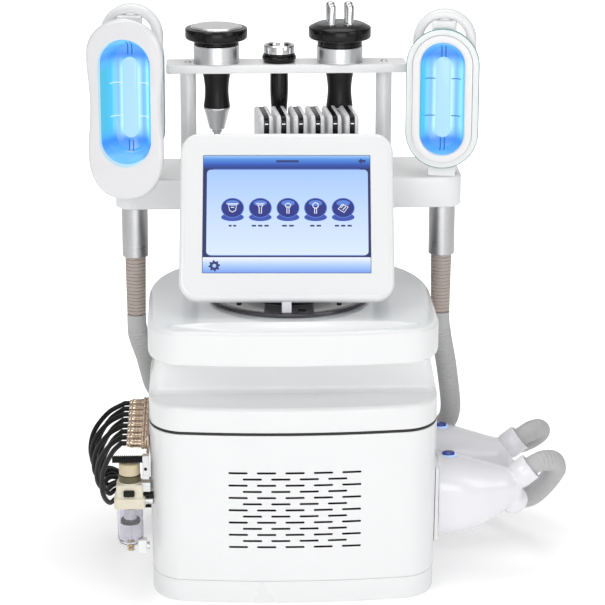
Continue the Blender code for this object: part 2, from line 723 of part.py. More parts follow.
def ribbed_hose(name, route, ribs, finish="hose_grey", lead=HOSE_PLAIN):
    """A corrugated hose: straight plain ends, ribs of two radii between them, and a bore."""
    fine, length = smooth_path(route, HOSE_R / 4)
    run = np.concatenate([[0], np.cumsum(np.linalg.norm(np.diff(fine, axis=0), axis=1))])
    inner = length - lead - HOSE_PLAIN
    steps = [0.0] + [lead + inner * i / (2 * ribs) for i in range(2 * ribs + 1)] + [length]
    radii = [1.0] + [1.0 if i % 2 == 0 else 1 + HOSE_RIB / HOSE_R for i in range(2 * ribs + 1)] + [1.0]
    points = np.stack([np.interp(steps, run, fine[:, k]) for k in range(3)], axis=1)
    body = add(name, tube_mesh(name, points, HOSE_R, radii), finish)
    bore_at = np.linspace(0, length, max(8, ribs // 2))
    bore = np.stack([np.interp(bore_at, run, fine[:, k]) for k in range(3)], axis=1)
    first, last = bore[0] - bore[1], bore[-1] - bore[-2]
    bore[0] += first / np.linalg.norm(first) * CUT_OVERRUN
    bore[-1] += last / np.linalg.norm(last) * CUT_OVERRUN
    cut(body, tube_mesh(f"{name}_bore", bore, HOSE_BORE_R))
    return body, length


# Base, cabinet shell and seam
def taper_ring(z, inset=0.0):
    share = 1 - z / SHELL_TOP_Z
    return ring_at(cabinet_plan(BASE_INSET * share + inset), z)


base_pan = add("base_pan", loft_mesh("base_pan", [taper_ring(0.0), taper_ring(PLINTH_HEIGHT - SEAT_GAP)]),
               "base_white")
cut(base_pan, loft_mesh("pan_hollow", [
    ring_at(cabinet_plan(BASE_INSET + WALL), FLOOR), ring_at(cabinet_plan(BASE_INSET + WALL),
                                                             PLINTH_HEIGHT + CUT_OVERRUN)
]))

cabinet_shell = add("cabinet_shell", loft_mesh("cabinet_shell", [taper_ring(PLINTH_HEIGHT),
                                                                 taper_ring(SHELL_TOP_Z)]),
                    "gloss_white")
cut(cabinet_shell, loft_mesh("shell_hollow", [
    ring_at(cabinet_plan(BASE_INSET + WALL), PLINTH_HEIGHT - CUT_OVERRUN),
    ring_at(cabinet_plan(BASE_INSET + WALL), SHELL_TOP_Z + CUT_OVERRUN),
]))
vents = bmesh.new()
for row in range(VENT_ROWS):
    slots = VENT_SLOTS_LONG_ROW - row % 2
    for slot in range(slots):
        x = (slot - (slots - 1) / 2) * VENT_SLOT_PITCH
        z = VENT_TOP_Z - row * VENT_ROW_PITCH
        bmesh.ops.create_cube(vents, size=1, matrix=Matrix.Translation((x, CABINET_FRONT_Y + FRONT_BOW,
                z)) @ Matrix.Diagonal(
            (VENT_SLOT_LENGTH, 2 * (FRONT_BOW + WALL + CUT_OVERRUN), VENT_SLOT_HEIGHT, 1)))
cut(cabinet_shell, finish_mesh(vents, "vent_slots"))
cut(cabinet_shell, box_mesh("rear_opening", (-REAR_OPENING_HALF_X, CABINET_REAR_Y - REAR_CORNER_Y / 2,
                                             REAR_OPENING_Z0),
                            (REAR_OPENING_HALF_X, CABINET_REAR_Y + CUT_OVERRUN, REAR_OPENING_Z1)))

# Upper housing: a set-in seam, a full band, then a set-back block with leaning sides under the lid
upper_housing = add("upper_housing", loft_mesh("upper_housing", [
    ring_at(cabinet_plan(SEAM_INSET), HOUSING_BOTTOM_Z), ring_at(cabinet_plan(SEAM_INSET), SEAM_TOP_Z),
    ring_at(cabinet_plan(), SEAM_TOP_Z), ring_at(cabinet_plan(), BAND_TOP_Z - EDGE_SOFT),
    ring_at(cabinet_plan(EDGE_SOFT), BAND_TOP_Z)]), "gloss_white")
join(upper_housing, loft_mesh("housing_block", [
    ring_at(cabinet_plan(EDGE_SOFT, LEDGE_Y, HOUSING_FRONT_CORNER), BAND_TOP_Z - LEDGE_SINK),
    ring_at(cabinet_plan(HOUSING_TOP_INSET, LEDGE_Y, HOUSING_FRONT_CORNER), HOUSING_TOP_Z)]))
cut(upper_housing, prism_mesh("band_hollow", cabinet_plan(BASE_INSET + WALL),
                              HOUSING_BOTTOM_Z - CUT_OVERRUN,
                              BAND_TOP_Z - WALL))
cut(upper_housing, prism_mesh(
    "block_hollow", cabinet_plan(HOUSING_TOP_INSET + WALL, LEDGE_Y + WALL, HOUSING_FRONT_CORNER - WALL / 2),
    BAND_TOP_Z - WALL - CUT_OVERRUN, HOUSING_TOP_Z - WALL))

# Lid: a rounded slab with a raised lip along the front
top_lid = add("top_lid", loft_mesh("top_lid", [
    ring_at(cabinet_plan(LID_BOTTOM_INSET), LID_BOTTOM_Z),
    ring_at(cabinet_plan(LID_BOTTOM_INSET / 4), LID_BOTTOM_Z + LID_BOTTOM_ROUND / 2),
    ring_at(cabinet_plan(), LID_BOTTOM_Z + LID_BOTTOM_ROUND),
    ring_at(cabinet_plan(), LID_TOP_Z - LID_ROUND),
    ring_at(cabinet_plan(LID_ROUND / 3), LID_TOP_Z - LID_ROUND / 3),
    ring_at(cabinet_plan(LID_ROUND), LID_TOP_Z)]), "gloss_white")
lip_front = [(-LIP_HALF_WIDTH + 2 * LIP_HALF_WIDTH * i / LIP_STEPS) for i in range(LIP_STEPS + 1)]
lip_depth = LIP_REAR_Y - CABINET_FRONT_Y - LIP_SET_BACK
lip_low = [(x,
            LIP_REAR_Y - lip_depth * (1 - (x / LIP_HALF_WIDTH) ** 2) - CUT_OVERRUN * (1 - abs(x) / LIP_HALF_WIDTH))
           for x in lip_front]
lip_top = [(x, LIP_REAR_Y - lip_depth / 3 * (1 - (x / LIP_HALF_WIDTH) ** 2)) for x in lip_front]
lip_rear = [(x, LIP_REAR_Y + CUT_OVERRUN) for x in reversed(lip_front)]
join(top_lid, loft_mesh("lid_lip", [
    [(x, y, LID_TOP_Z - LID_TOP_WALL) for x, y in lip_low + lip_rear],
    [(x, y, LID_TOP_Z) for x, y in lip_low + lip_rear],
    [(x, y, LID_TOP_Z + LIP_HEIGHT) for x, y in lip_top + lip_rear]]))
cut(top_lid, prism_mesh("lid_hollow", cabinet_plan(LID_POCKET_INSET, LEDGE_Y + LID_POCKET_INSET,
                                                   HOUSING_FRONT_CORNER),
                        LID_BOTTOM_Z - CUT_OVERRUN, LID_TOP_Z - LID_TOP_WALL))

# Rear panel with the fan, inlet, switch and hose glands
PANEL_Y = CABINET_REAR_Y + SEAT_GAP
rear_panel = add("rear_panel", box_mesh("rear_panel", (
    -REAR_OPENING_HALF_X - REAR_PANEL_LAP, PANEL_Y, REAR_OPENING_Z0 - REAR_PANEL_LAP), (
    REAR_OPENING_HALF_X + REAR_PANEL_LAP, PANEL_Y + REAR_PANEL_THICK, REAR_OPENING_Z1 + REAR_PANEL_LAP)),
    "panel_grey")
join(rear_panel, box_mesh("fan_frame", (FAN_X - FAN_FRAME_HALF, PANEL_Y - FAN_FRAME_DEPTH,
                                        FAN_Z - FAN_FRAME_HALF), (
    FAN_X + FAN_FRAME_HALF, PANEL_Y + REAR_PANEL_THICK / 2, FAN_Z + FAN_FRAME_HALF)))
cut(rear_panel, turned_mesh("fan_bore", [(FAN_BORE_R, -FAN_FRAME_DEPTH - CUT_OVERRUN), (FAN_BORE_R, 0)],
                            PIECE_STEPS),
    at=(FAN_X, PANEL_Y, FAN_Z), turn=(-math.pi / 2, 0, 0))
join(rear_panel, turned_mesh("fan_spindle", [(FAN_SPINDLE_R, -FAN_SPINDLE_LENGTH), (FAN_SPINDLE_R,
        REAR_PANEL_THICK / 2)],
                             PLUG_STEPS), at=(FAN_X, PANEL_Y, FAN_Z), turn=(-math.pi / 2, 0, 0))
grille = bmesh.new()
for slot in range(GRILLE_SLOTS):
    rise = (slot - (GRILLE_SLOTS - 1) / 2) * GRILLE_SLOT_PITCH
    length = 2 * math.sqrt(FAN_BORE_R**2 - rise**2) - 2 * CUT_OVERRUN
    bmesh.ops.create_cube(grille, size=1, matrix=Matrix.Translation((FAN_X, PANEL_Y,
                                                                     FAN_Z + rise)) @ Matrix.Diagonal(
        (length, 2 * (REAR_PANEL_THICK + CUT_OVERRUN), GRILLE_SLOT_HEIGHT, 1)))
cut(rear_panel, finish_mesh(grille, "grille_slots"))
cut(rear_panel, box_mesh("inlet_cut", (INLET_X - INLET_HALF_X - SEAT_GAP, PANEL_Y - CUT_OVERRUN,
                                       INLET_Z - INLET_HALF_Z
                                       - SEAT_GAP), (INLET_X + INLET_HALF_X + SEAT_GAP,
                                                     PANEL_Y + REAR_PANEL_THICK + CUT_OVERRUN,
                                                     INLET_Z + INLET_HALF_Z + SEAT_GAP)))
cut(rear_panel, box_mesh("switch_cut", (INLET_X - SWITCH_HALF_X - SWITCH_GAP, PANEL_Y - CUT_OVERRUN,
                                        SWITCH_Z - SWITCH_HALF_Z
                                        - SWITCH_GAP), (INLET_X + SWITCH_HALF_X + SWITCH_GAP,
                                                        PANEL_Y + REAR_PANEL_THICK + CUT_OVERRUN,
                                                        SWITCH_Z + SWITCH_HALF_Z + SWITCH_GAP)))
for x, z in ((-GLAND_X, GLAND_Z), (GLAND_X, GLAND_Z), (GLAND_X, MIDDLE_GLAND_Z), (INNER_GLAND_X,
        LOW_GLAND_Z)):
    join(rear_panel, turned_mesh("hose_gland", [(GLAND_R, 0), (GLAND_R, GLAND_LENGTH)], PIECE_STEPS),
         at=(x, PANEL_Y + REAR_PANEL_THICK / 2, z), turn=(-math.pi / 2, 0, 0))
gland_y = PANEL_Y + REAR_PANEL_THICK / 2 + GLAND_LENGTH + SEAT_GAP

fan_rotor = add("fan_rotor", turned_mesh("fan_rotor", [
    (FAN_SPINDLE_R + SEAT_GAP, 0), (FAN_HUB_R, 0), (FAN_HUB_R, FAN_DEPTH), (FAN_SPINDLE_R + SEAT_GAP,
            FAN_DEPTH)],
    PIECE_STEPS, closed=True), "grip_black", at=(FAN_X, PANEL_Y - FAN_DEPTH - FAN_RUN_GAP, FAN_Z),
    turn=(-math.pi / 2, 0, 0))
for blade in range(FAN_BLADES):
    angle = math.tau * blade / FAN_BLADES
    sweep = Matrix.Rotation(angle, 4, "Z") @ Matrix.Translation((FAN_HUB_R - FAN_BLADE_THICK, 0,
                                                                 FAN_DEPTH / 2)) @ (
        Matrix.Rotation(FAN_BLADE_PITCH, 4, "X"))
    reach, half = FAN_ROTOR_R - FAN_HUB_R + FAN_BLADE_THICK, FAN_DEPTH / 2 * 0.9
    mesh = box_mesh("fan_blade", (0, -half, -FAN_BLADE_THICK / 2), (reach, half, FAN_BLADE_THICK / 2))
    mesh.transform(sweep)
    join(fan_rotor, mesh, at=fan_rotor.location, turn=(-math.pi / 2, 0, 0))

power_inlet = add("power_inlet", box_mesh("power_inlet", (-INLET_HALF_X, -INLET_DEPTH, -INLET_HALF_Z),
                                          (INLET_HALF_X, REAR_PANEL_THICK, INLET_HALF_Z)), "grip_black",
                  at=(INLET_X, PANEL_Y, INLET_Z))
cut(power_inlet, box_mesh("inlet_socket", (-INLET_HALF_X + INLET_RIM, -INLET_DEPTH + INLET_RIM,
                                           -INLET_HALF_Z + INLET_RIM),
                          (INLET_HALF_X - INLET_RIM, REAR_PANEL_THICK + CUT_OVERRUN,
                           INLET_HALF_Z - INLET_RIM)),
    at=(INLET_X, PANEL_Y, INLET_Z))
switch_outline = [
    (-SWITCH_BODY_DEPTH, -SWITCH_HALF_Z * 0.6), (SWITCH_PIVOT_DEPTH, -SWITCH_HALF_Z),
    (SWITCH_PIVOT_DEPTH + SWITCH_PROUD, -SWITCH_HALF_Z), (SWITCH_PIVOT_DEPTH + SWITCH_PROUD / 2, 0.0),
    (SWITCH_PIVOT_DEPTH + SWITCH_PROUD, SWITCH_HALF_Z), (SWITCH_PIVOT_DEPTH, SWITCH_HALF_Z),
    (-SWITCH_BODY_DEPTH, SWITCH_HALF_Z * 0.6)]
power_switch = add("power_switch", side_mesh("power_switch", switch_outline, SWITCH_HALF_X), "grip_black",
                   at=(INLET_X, PANEL_Y, SWITCH_Z), turn=(SWITCH_ROCK / 2, 0, 0))

# Inside pieces on the floor of the base, and the board under the housing's roof
FLOOR_Z = FLOOR + SEAT_GAP
water_tank = soften(add("water_tank", box_mesh("water_tank", (-TANK_HALF[0], -TANK_HALF[1], 0),
                                               (TANK_HALF[0], TANK_HALF[1], TANK_HEIGHT)), "clear_plastic",
                        at=(TANK_X, TANK_Y, FLOOR_Z)), EDGE_SOFT * 3)
vacuum_pump = add("vacuum_pump", turned_mesh("vacuum_pump", [(PUMP_R, -PUMP_LENGTH / 2), (PUMP_R,
        PUMP_LENGTH / 2)],
                                             PIECE_STEPS), "machine_grey",
                  at=(PUMP_X, PUMP_Y, FLOOR_Z + PUMP_FOOT_HEIGHT + PUMP_R), turn=(0, math.pi / 2, 0))
join(vacuum_pump, box_mesh("pump_foot", (-PUMP_FOOT_HALF, -PUMP_FOOT_HALF, 0), (
    PUMP_FOOT_HALF, PUMP_FOOT_HALF, PUMP_FOOT_HEIGHT + PUMP_R)), at=(PUMP_X, PUMP_Y, FLOOR_Z))
power_supply = soften(add("power_supply", box_mesh("power_supply", (-SUPPLY_HALF[0], -SUPPLY_HALF[1], 0),
                                                   (SUPPLY_HALF[0], SUPPLY_HALF[1], SUPPLY_HEIGHT)),
                                                   "machine_grey",
                          at=(SUPPLY_X, SUPPLY_Y, FLOOR_Z)), EDGE_SOFT)
BOARD_ROOF_Z = HOUSING_TOP_Z - WALL - SEAT_GAP
control_board = add("control_board", box_mesh("control_board", (-BOARD_HALF[0], -BOARD_HALF[1],
                                                                -BOARD_DROP),
                                              (BOARD_HALF[0], BOARD_HALF[1], -BOARD_DROP + BOARD_THICK)),
                                              "board_green",
                    at=(BOARD_X, BOARD_Y, BOARD_ROOF_Z))
for sx in (-1, 1):
    for sy in (-1, 1):
        join(control_board, turned_mesh("board_post", [(BOARD_POST_R, -BOARD_DROP + BOARD_THICK / 2),
                                                       (BOARD_POST_R, 0)],
                                        PLUG_STEPS), at=(BOARD_X + sx * (BOARD_HALF[0] - BOARD_POST_INSET),
                                                         BOARD_Y + sy * (BOARD_HALF[1] - BOARD_POST_INSET),
                                                         BOARD_ROOF_Z))

# Screen on its turntable
TABLE_Z = LID_TOP_Z + SEAT_GAP
swivel = frame("swivel_axis", (SWIVEL_X, SWIVEL_Y, TABLE_Z), (0, 0, SWIVEL_REST))
screen_turntable = add("screen_turntable", turned_mesh("screen_turntable", [
    (TABLE_R, 0), (TABLE_R, TABLE_THICK - TABLE_EDGE), (TABLE_R - TABLE_EDGE, TABLE_THICK),
    (HUB_R, TABLE_THICK), (HUB_R - TABLE_EDGE, TABLE_THICK + HUB_THICK)], 2 * PIECE_STEPS), "dark_gloss",
    parent=swivel)
lean = frame("screen_plane", (SCREEN_SHIFT_X, SCREEN_BOTTOM_Y, SCREEN_BOTTOM_RISE - SEAT_GAP),
             (-SCREEN_LEAN, 0, 0), swivel)


def screen_ring(half_x, z0, z1, corner, y):
    mid, half = (z0 + z1) / 2, (z1 - z0) / 2
    return [(x, y, mid + z) for x, z in rounded_box(half_x, half, corner, 5)]


screen_bezel = add("screen_bezel", loft_mesh("screen_bezel", [
    screen_ring(SCREEN_WIDTH / 2 - BEZEL_ROUND / 2, BEZEL_ROUND / 2, SCREEN_HEIGHT - BEZEL_ROUND / 2,
                SCREEN_CORNER - BEZEL_ROUND / 2, BEZEL_THICK),
    screen_ring(SCREEN_WIDTH / 2, 0, SCREEN_HEIGHT, SCREEN_CORNER, BEZEL_THICK - BEZEL_ROUND / 2),
    screen_ring(SCREEN_WIDTH / 2, 0, SCREEN_HEIGHT, SCREEN_CORNER, BEZEL_ROUND),
    screen_ring(SCREEN_WIDTH / 2 - BEZEL_ROUND / 3, BEZEL_ROUND / 3, SCREEN_HEIGHT - BEZEL_ROUND / 3,
                SCREEN_CORNER - BEZEL_ROUND / 3, BEZEL_ROUND / 3),
    screen_ring(SCREEN_WIDTH / 2 - BEZEL_ROUND, BEZEL_ROUND, SCREEN_HEIGHT - BEZEL_ROUND,
                SCREEN_CORNER - BEZEL_ROUND, 0)]),
    "gloss_white", parent=lean)
cut(screen_bezel, box_mesh("display_opening", (-DISPLAY_WIDTH / 2, -CUT_OVERRUN, DISPLAY_BOTTOM),
                           (DISPLAY_WIDTH / 2, BEZEL_THICK + CUT_OVERRUN, DISPLAY_BOTTOM + DISPLAY_HEIGHT)))
display_panel = add("display_panel", box_mesh("display_panel", (
    -DISPLAY_WIDTH / 2 + SEAT_GAP, DISPLAY_SINK, DISPLAY_BOTTOM + SEAT_GAP), (
    DISPLAY_WIDTH / 2 - SEAT_GAP, BEZEL_THICK, DISPLAY_BOTTOM + DISPLAY_HEIGHT - SEAT_GAP)), "display_blue",
    parent=lean)
BACK_Y = BEZEL_THICK + SEAT_GAP
screen_rear_cover = add("screen_rear_cover", loft_mesh("screen_rear_cover", [
    screen_ring(SCREEN_WIDTH / 2 - BACK_INSET - BACK_TAPER, BACK_INSET + BACK_TAPER / 2,
                SCREEN_HEIGHT - BACK_INSET - 2 * BACK_TAPER, BACK_CORNER - BACK_TAPER / 2,
                BACK_Y + BACK_DEPTH),
    screen_ring(SCREEN_WIDTH / 2 - BACK_INSET, BACK_INSET, SCREEN_HEIGHT - BACK_INSET, BACK_CORNER,
                BACK_Y + BACK_DEPTH / 4),
    screen_ring(SCREEN_WIDTH / 2 - BACK_INSET, BACK_INSET, SCREEN_HEIGHT - BACK_INSET, BACK_CORNER,
                BACK_Y)]),
    "gloss_white", parent=lean)
UP = (math.sin(SCREEN_LEAN), math.cos(SCREEN_LEAN))
BACK = (math.cos(SCREEN_LEAN), -math.sin(SCREEN_LEAN))


def plane_point(along, behind):
    """A point of the leaning screen, in the turntable's Y and Z."""
    return (SCREEN_BOTTOM_Y + along * UP[0] + behind * BACK[0],
            SCREEN_BOTTOM_RISE - SEAT_GAP + along * UP[1] + behind * BACK[1])


NECK_BEHIND = BACK_Y + BACK_DEPTH + SEAT_GAP
HUB_TOP = TABLE_THICK + HUB_THICK + SEAT_GAP
screen_bracket = soften(add("screen_bracket", side_mesh("screen_bracket", [
    (NECK_FOOT_FRONT_Y, HUB_TOP), (NECK_FOOT_REAR_Y, HUB_TOP), plane_point(NECK_HIGH, NECK_BEHIND),
    plane_point(NECK_LOW, NECK_BEHIND)], NECK_HALF_WIDTH), "gloss_white", parent=swivel), EDGE_SOFT)
stay_slope = BACK[1] / BACK[0]
stay_top = plane_point(0, 0)[1] - SEAT_GAP / UP[1]
join(screen_bracket, side_mesh("screen_stay", [
    (STAY_FRONT_Y, HUB_TOP), (NECK_FOOT_FRONT_Y + CUT_OVERRUN, HUB_TOP),
    (NECK_FOOT_FRONT_Y + CUT_OVERRUN, HUB_TOP + STAY_STRIP), (STAY_REAR_Y, HUB_TOP + STAY_STRIP),
    (STAY_REAR_Y, stay_top + (STAY_REAR_Y - SCREEN_BOTTOM_Y) * stay_slope),
    (STAY_FRONT_Y, stay_top + (STAY_FRONT_Y - SCREEN_BOTTOM_Y) * stay_slope)], STAY_HALF_WIDTH), at=(STAY_X,
            0, 0))
join(screen_bracket, side_mesh("stay_foot", [
    (STAY_FRONT_Y, TABLE_THICK + SEAT_GAP), (STAY_REAR_Y, TABLE_THICK + SEAT_GAP), (STAY_REAR_Y,
            HUB_TOP + STAY_STRIP / 2),
    (STAY_FRONT_Y, HUB_TOP + STAY_STRIP / 2)], STAY_HALF_WIDTH * STAY_FOOT_SHARE), at=(STAY_X, 0, 0))

# Accessory shelf on two posts, with the tool rail on top
SHELF_MID_Y = SHELF_FRONT_Y + SHELF_DEPTH / 2
shelf_outline = [(x, SHELF_MID_Y + y) for x, y in rounded_box(SHELF_HALF_LENGTH, SHELF_DEPTH / 2,
                                                              SHELF_CORNER)]
shelf_inner = [(x, SHELF_MID_Y + y) for x, y in rounded_box(
    SHELF_HALF_LENGTH - SHELF_EDGE, SHELF_DEPTH / 2 - SHELF_EDGE, SHELF_CORNER - SHELF_EDGE)]
accessory_shelf = add("accessory_shelf", loft_mesh("accessory_shelf", [
    ring_at(shelf_inner, SHELF_BOTTOM_Z), ring_at(shelf_outline, SHELF_BOTTOM_Z + SHELF_EDGE),
    ring_at(shelf_outline, SHELF_TOP_Z - SHELF_EDGE), ring_at(shelf_inner, SHELF_TOP_Z)]), "gloss_white")
SHELF_SPAN = (SHELF_BOTTOM_Z - CUT_OVERRUN, SHELF_TOP_Z + CUT_OVERRUN)
for side in (-1, 1):
    cut(accessory_shelf, turned_mesh("stem_hole", [(FERRULE_R + SLIDE_GAP, z) for z in SHELF_SPAN],
                                     PIECE_STEPS),
        at=(side * STEM_X, STEM_Y, 0))
    cut(accessory_shelf, turned_mesh("post_hole", [(POST_R + SEAT_GAP, z) for z in SHELF_SPAN],
                                     PIECE_STEPS),
        at=(RAIL_CENTRE_X + side * POST_SPACING / 2, POST_Y, 0))
    name = "left_post" if side < 0 else "right_post"
    add(name, turned_mesh(name, [
        (POST_FOOT_R, LID_TOP_Z + SEAT_GAP), (POST_FOOT_R, LID_TOP_Z + SEAT_GAP + POST_FOOT_THICK),
        (POST_R, LID_TOP_Z + SEAT_GAP + POST_FOOT_THICK), (POST_R, RAIL_BOTTOM_Z - SEAT_GAP)], PIECE_STEPS),
        "gloss_white",
        at=(RAIL_CENTRE_X + side * POST_SPACING / 2, POST_Y, 0))

tool_rail = soften(add("tool_rail", prism_mesh("tool_rail", rounded_box(RAIL_HALF_LENGTH, RAIL_DEPTH / 2,
        RAIL_CORNER, 3),
                                               RAIL_BOTTOM_Z, RAIL_TOP_Z), "gloss_white",
                       at=(RAIL_CENTRE_X, POST_Y, 0)), RAIL_EDGE, 1)
RAIL_SPAN = (RAIL_BOTTOM_Z - CUT_OVERRUN, RAIL_TOP_Z + CUT_OVERRUN)
for x, r in ((CAV_X, GRIP_TOP_R), (FACE_X, FACE_GRIP_TOP_R), (BODY_X, GRIP_TOP_R)):
    cut(tool_rail, turned_mesh("tool_hole", [(r + SLIDE_GAP, z) for z in RAIL_SPAN], PIECE_STEPS), at=(x,
            POST_Y, 0))


# Hand pieces hung in the rail by their collars
def hand_piece(prefix, x):
    base = RAIL_TOP_Z + SEAT_GAP
    at = (x, POST_Y, base)
    cone_z = -GRIP_LOW_DROP - SEAT_GAP
    add(f"{prefix}_barrel", turned_mesh(f"{prefix}_barrel", [
        (0, -TAIL_DROP), (TAIL_R, -TAIL_DROP), (TAIL_R, -CONE_DROP), (CONE_END_R, -CONE_DROP), (GRIP_LOW_R,
                cone_z),
        (SHANK_R, cone_z), (SHANK_R, 0), (COLLAR_R, 0), (COLLAR_R, COLLAR_HEIGHT)], PIECE_STEPS),
        "satin_silver", at=at)
    ring_z = COLLAR_HEIGHT + SEAT_GAP
    head_z = ring_z + RING_HEIGHT
    add(f"{prefix}_grip", turned_mesh(f"{prefix}_grip", [
        (SHANK_R + SEAT_GAP, -GRIP_LOW_DROP), (GRIP_LOW_R, -GRIP_LOW_DROP), (GRIP_WAIST_R,
                -GRIP_WAIST_DROP),
        (GRIP_WAIST_R * GRIP_FLARE, -GRIP_WAIST_DROP * GRIP_FLARE_SHARE), (GRIP_TOP_R, -RAIL_THICK),
        (GRIP_TOP_R, -SEAT_GAP), (SHANK_R + SEAT_GAP, -SEAT_GAP)], PIECE_STEPS, closed=True), "grip_black",
        at=at)
    return at, ring_z, head_z


at, ring_z, head_z = hand_piece("cavitation", CAV_X)
add("cavitation_head", turned_mesh("cavitation_head", [
    (RING_R, ring_z), (RING_R, head_z), (HEAD_R - HEAD_UNDERCUT, head_z), (HEAD_R, head_z + HEAD_UNDERCUT),
    (HEAD_R, head_z + HEAD_HEIGHT - TABLE_EDGE), (HEAD_R - TABLE_EDGE, head_z + HEAD_HEIGHT)], PIECE_STEPS),
    "grip_black", at=at)
add("cavitation_face", turned_mesh("cavitation_face", [
    (CAV_FACE_R, head_z + HEAD_HEIGHT + SEAT_GAP), (CAV_FACE_R - TABLE_EDGE,
                                                    head_z + HEAD_HEIGHT + CAV_FACE_HEIGHT)],
    PIECE_STEPS), "satin_silver", at=at)

# The body piece's four pins stand on one plate, pushed up through the head from below
at, ring_z, head_z = hand_piece("body_rf", BODY_X)
head_top = head_z + HEAD_HEIGHT + HEAD_CHAMFER
body_rf_head = add("body_rf_head", turned_mesh("body_rf_head", [
    (RING_R, ring_z), (RING_R, head_z), (HEAD_R - HEAD_UNDERCUT, head_z), (HEAD_R, head_z + HEAD_UNDERCUT),
    (HEAD_R, head_z + HEAD_HEIGHT), (HEAD_R - 2 * HEAD_CHAMFER, head_top)], PIECE_STEPS), "grip_black",
    at=at)
plate_top = head_top - PIN_ROOF
cut(body_rf_head, turned_mesh("plate_pocket", [(PIN_PLATE_R + SEAT_GAP, ring_z - CUT_OVERRUN), (
    PIN_PLATE_R + SEAT_GAP, plate_top + SEAT_GAP)], PIECE_STEPS), at=at)
body_rf_electrodes = add("body_rf_electrodes", turned_mesh("body_rf_electrodes", [
    (PIN_PLATE_R, plate_top - PIN_PLATE_THICK), (PIN_PLATE_R, plate_top)], PIECE_STEPS), "bright_chrome",
    at=at)
for sx, sy in ((-1, -1), (1, -1), (1, 1), (-1, 1)):
    spot = (at[0] + sx * PIN_OFFSET, at[1] + sy * PIN_OFFSET, at[2])
    cut(body_rf_head, turned_mesh("pin_hole", [(PIN_R + SEAT_GAP, plate_top - CUT_OVERRUN), (
        PIN_R + SEAT_GAP, head_top + CUT_OVERRUN)], PIN_STEPS), at=spot)
    join(body_rf_electrodes, turned_mesh("pin", [
        (PIN_R, plate_top - PIN_PLATE_THICK / 2), (PIN_R, head_top + PIN_HEIGHT - PIN_R / 2),
        (PIN_R * PIN_DOME_SHARES[0], head_top + PIN_HEIGHT - PIN_R / 6), (PIN_R * PIN_DOME_SHARES[1],
                head_top + PIN_HEIGHT)],
        PIN_STEPS), at=spot)

face_at = (FACE_X, POST_Y, RAIL_TOP_Z + SEAT_GAP)
bulge_top = FACE_FLANGE_HEIGHT + FACE_BULGE_HEIGHT
add("face_rf_grip", turned_mesh("face_rf_grip", [
    (0, -FACE_TAIL_DROP), (TAIL_R, -FACE_TAIL_DROP), (TAIL_R, -FACE_GRIP_DROP), (FACE_GRIP_LOW_R,
            -FACE_GRIP_DROP),
    (FACE_GRIP_TOP_R, -FACE_GRIP_DROP / 2), (FACE_GRIP_TOP_R, 0), (FACE_FLANGE_R, 0), (FACE_FLANGE_R,
            FACE_FLANGE_HEIGHT),
    (FACE_BULGE_R, FACE_FLANGE_HEIGHT + FACE_BULGE_HEIGHT / 4), (FACE_BULGE_R,
                                                                 FACE_FLANGE_HEIGHT + FACE_BULGE_HEIGHT / 2),
    (FACE_TIP_R, bulge_top)], PIECE_STEPS), "grip_black", at=face_at)
tip_z = bulge_top + SEAT_GAP
add("face_rf_tip", turned_mesh("face_rf_tip", [
    (FACE_TIP_R - TABLE_EDGE, tip_z), (FACE_TIP_R, tip_z + TABLE_EDGE), (FACE_TIP_R,
            tip_z + FACE_TIP_HEIGHT - TABLE_EDGE),
    (FACE_TIP_R - TABLE_EDGE, tip_z + FACE_TIP_HEIGHT), (FACE_TIP_BORE_R, tip_z + FACE_TIP_HEIGHT),
    (FACE_TIP_BORE_R - TABLE_EDGE, tip_z + FACE_TIP_HEIGHT - FACE_TIP_BORE_DEPTH),
    (0, tip_z + FACE_TIP_HEIGHT - FACE_TIP_BORE_DEPTH)], PIECE_STEPS), "bright_chrome", at=face_at)

# Laser pads
for index in range(PAD_COUNT):
    at = (PAD_FIRST_X + index * PAD_PITCH, PAD_FRONT_Y, SHELF_TOP_Z - PAD_POCKET_DEPTH)
    half = PAD_THICK / 2
    tall = PAD_FRONT_HEIGHT + PAD_POCKET_DEPTH
    profile = [(0.0, SEAT_GAP), (PAD_DEPTH, SEAT_GAP), (PAD_DEPTH, tall + PAD_REAR_RISE - PAD_CORNER / 2),
               (PAD_DEPTH - PAD_CORNER / 2, tall + PAD_REAR_RISE), (PAD_CORNER,
                                                                    tall + PAD_REAR_RISE * PAD_CORNER / PAD_DEPTH),
               (PAD_CORNER / 4, tall - PAD_CORNER / 4), (0.0, tall - PAD_CORNER)]
    pad = soften(add(f"laser_pad_{index + 1}", side_mesh(f"laser_pad_{index + 1}", profile, half),
                     "gloss_white", at=at,
                     turn=(0, 0, PAD_TURN)), PAD_EDGE, 1, math.radians(60))
    cut(accessory_shelf, box_mesh("pad_pocket", (-half - PAD_POCKET_GAP, -PAD_POCKET_GAP, 0),
                                  (half + PAD_POCKET_GAP, PAD_DEPTH + PAD_POCKET_GAP,
                                   PAD_POCKET_DEPTH + CUT_OVERRUN)),
        at=at, turn=(0, 0, PAD_TURN))


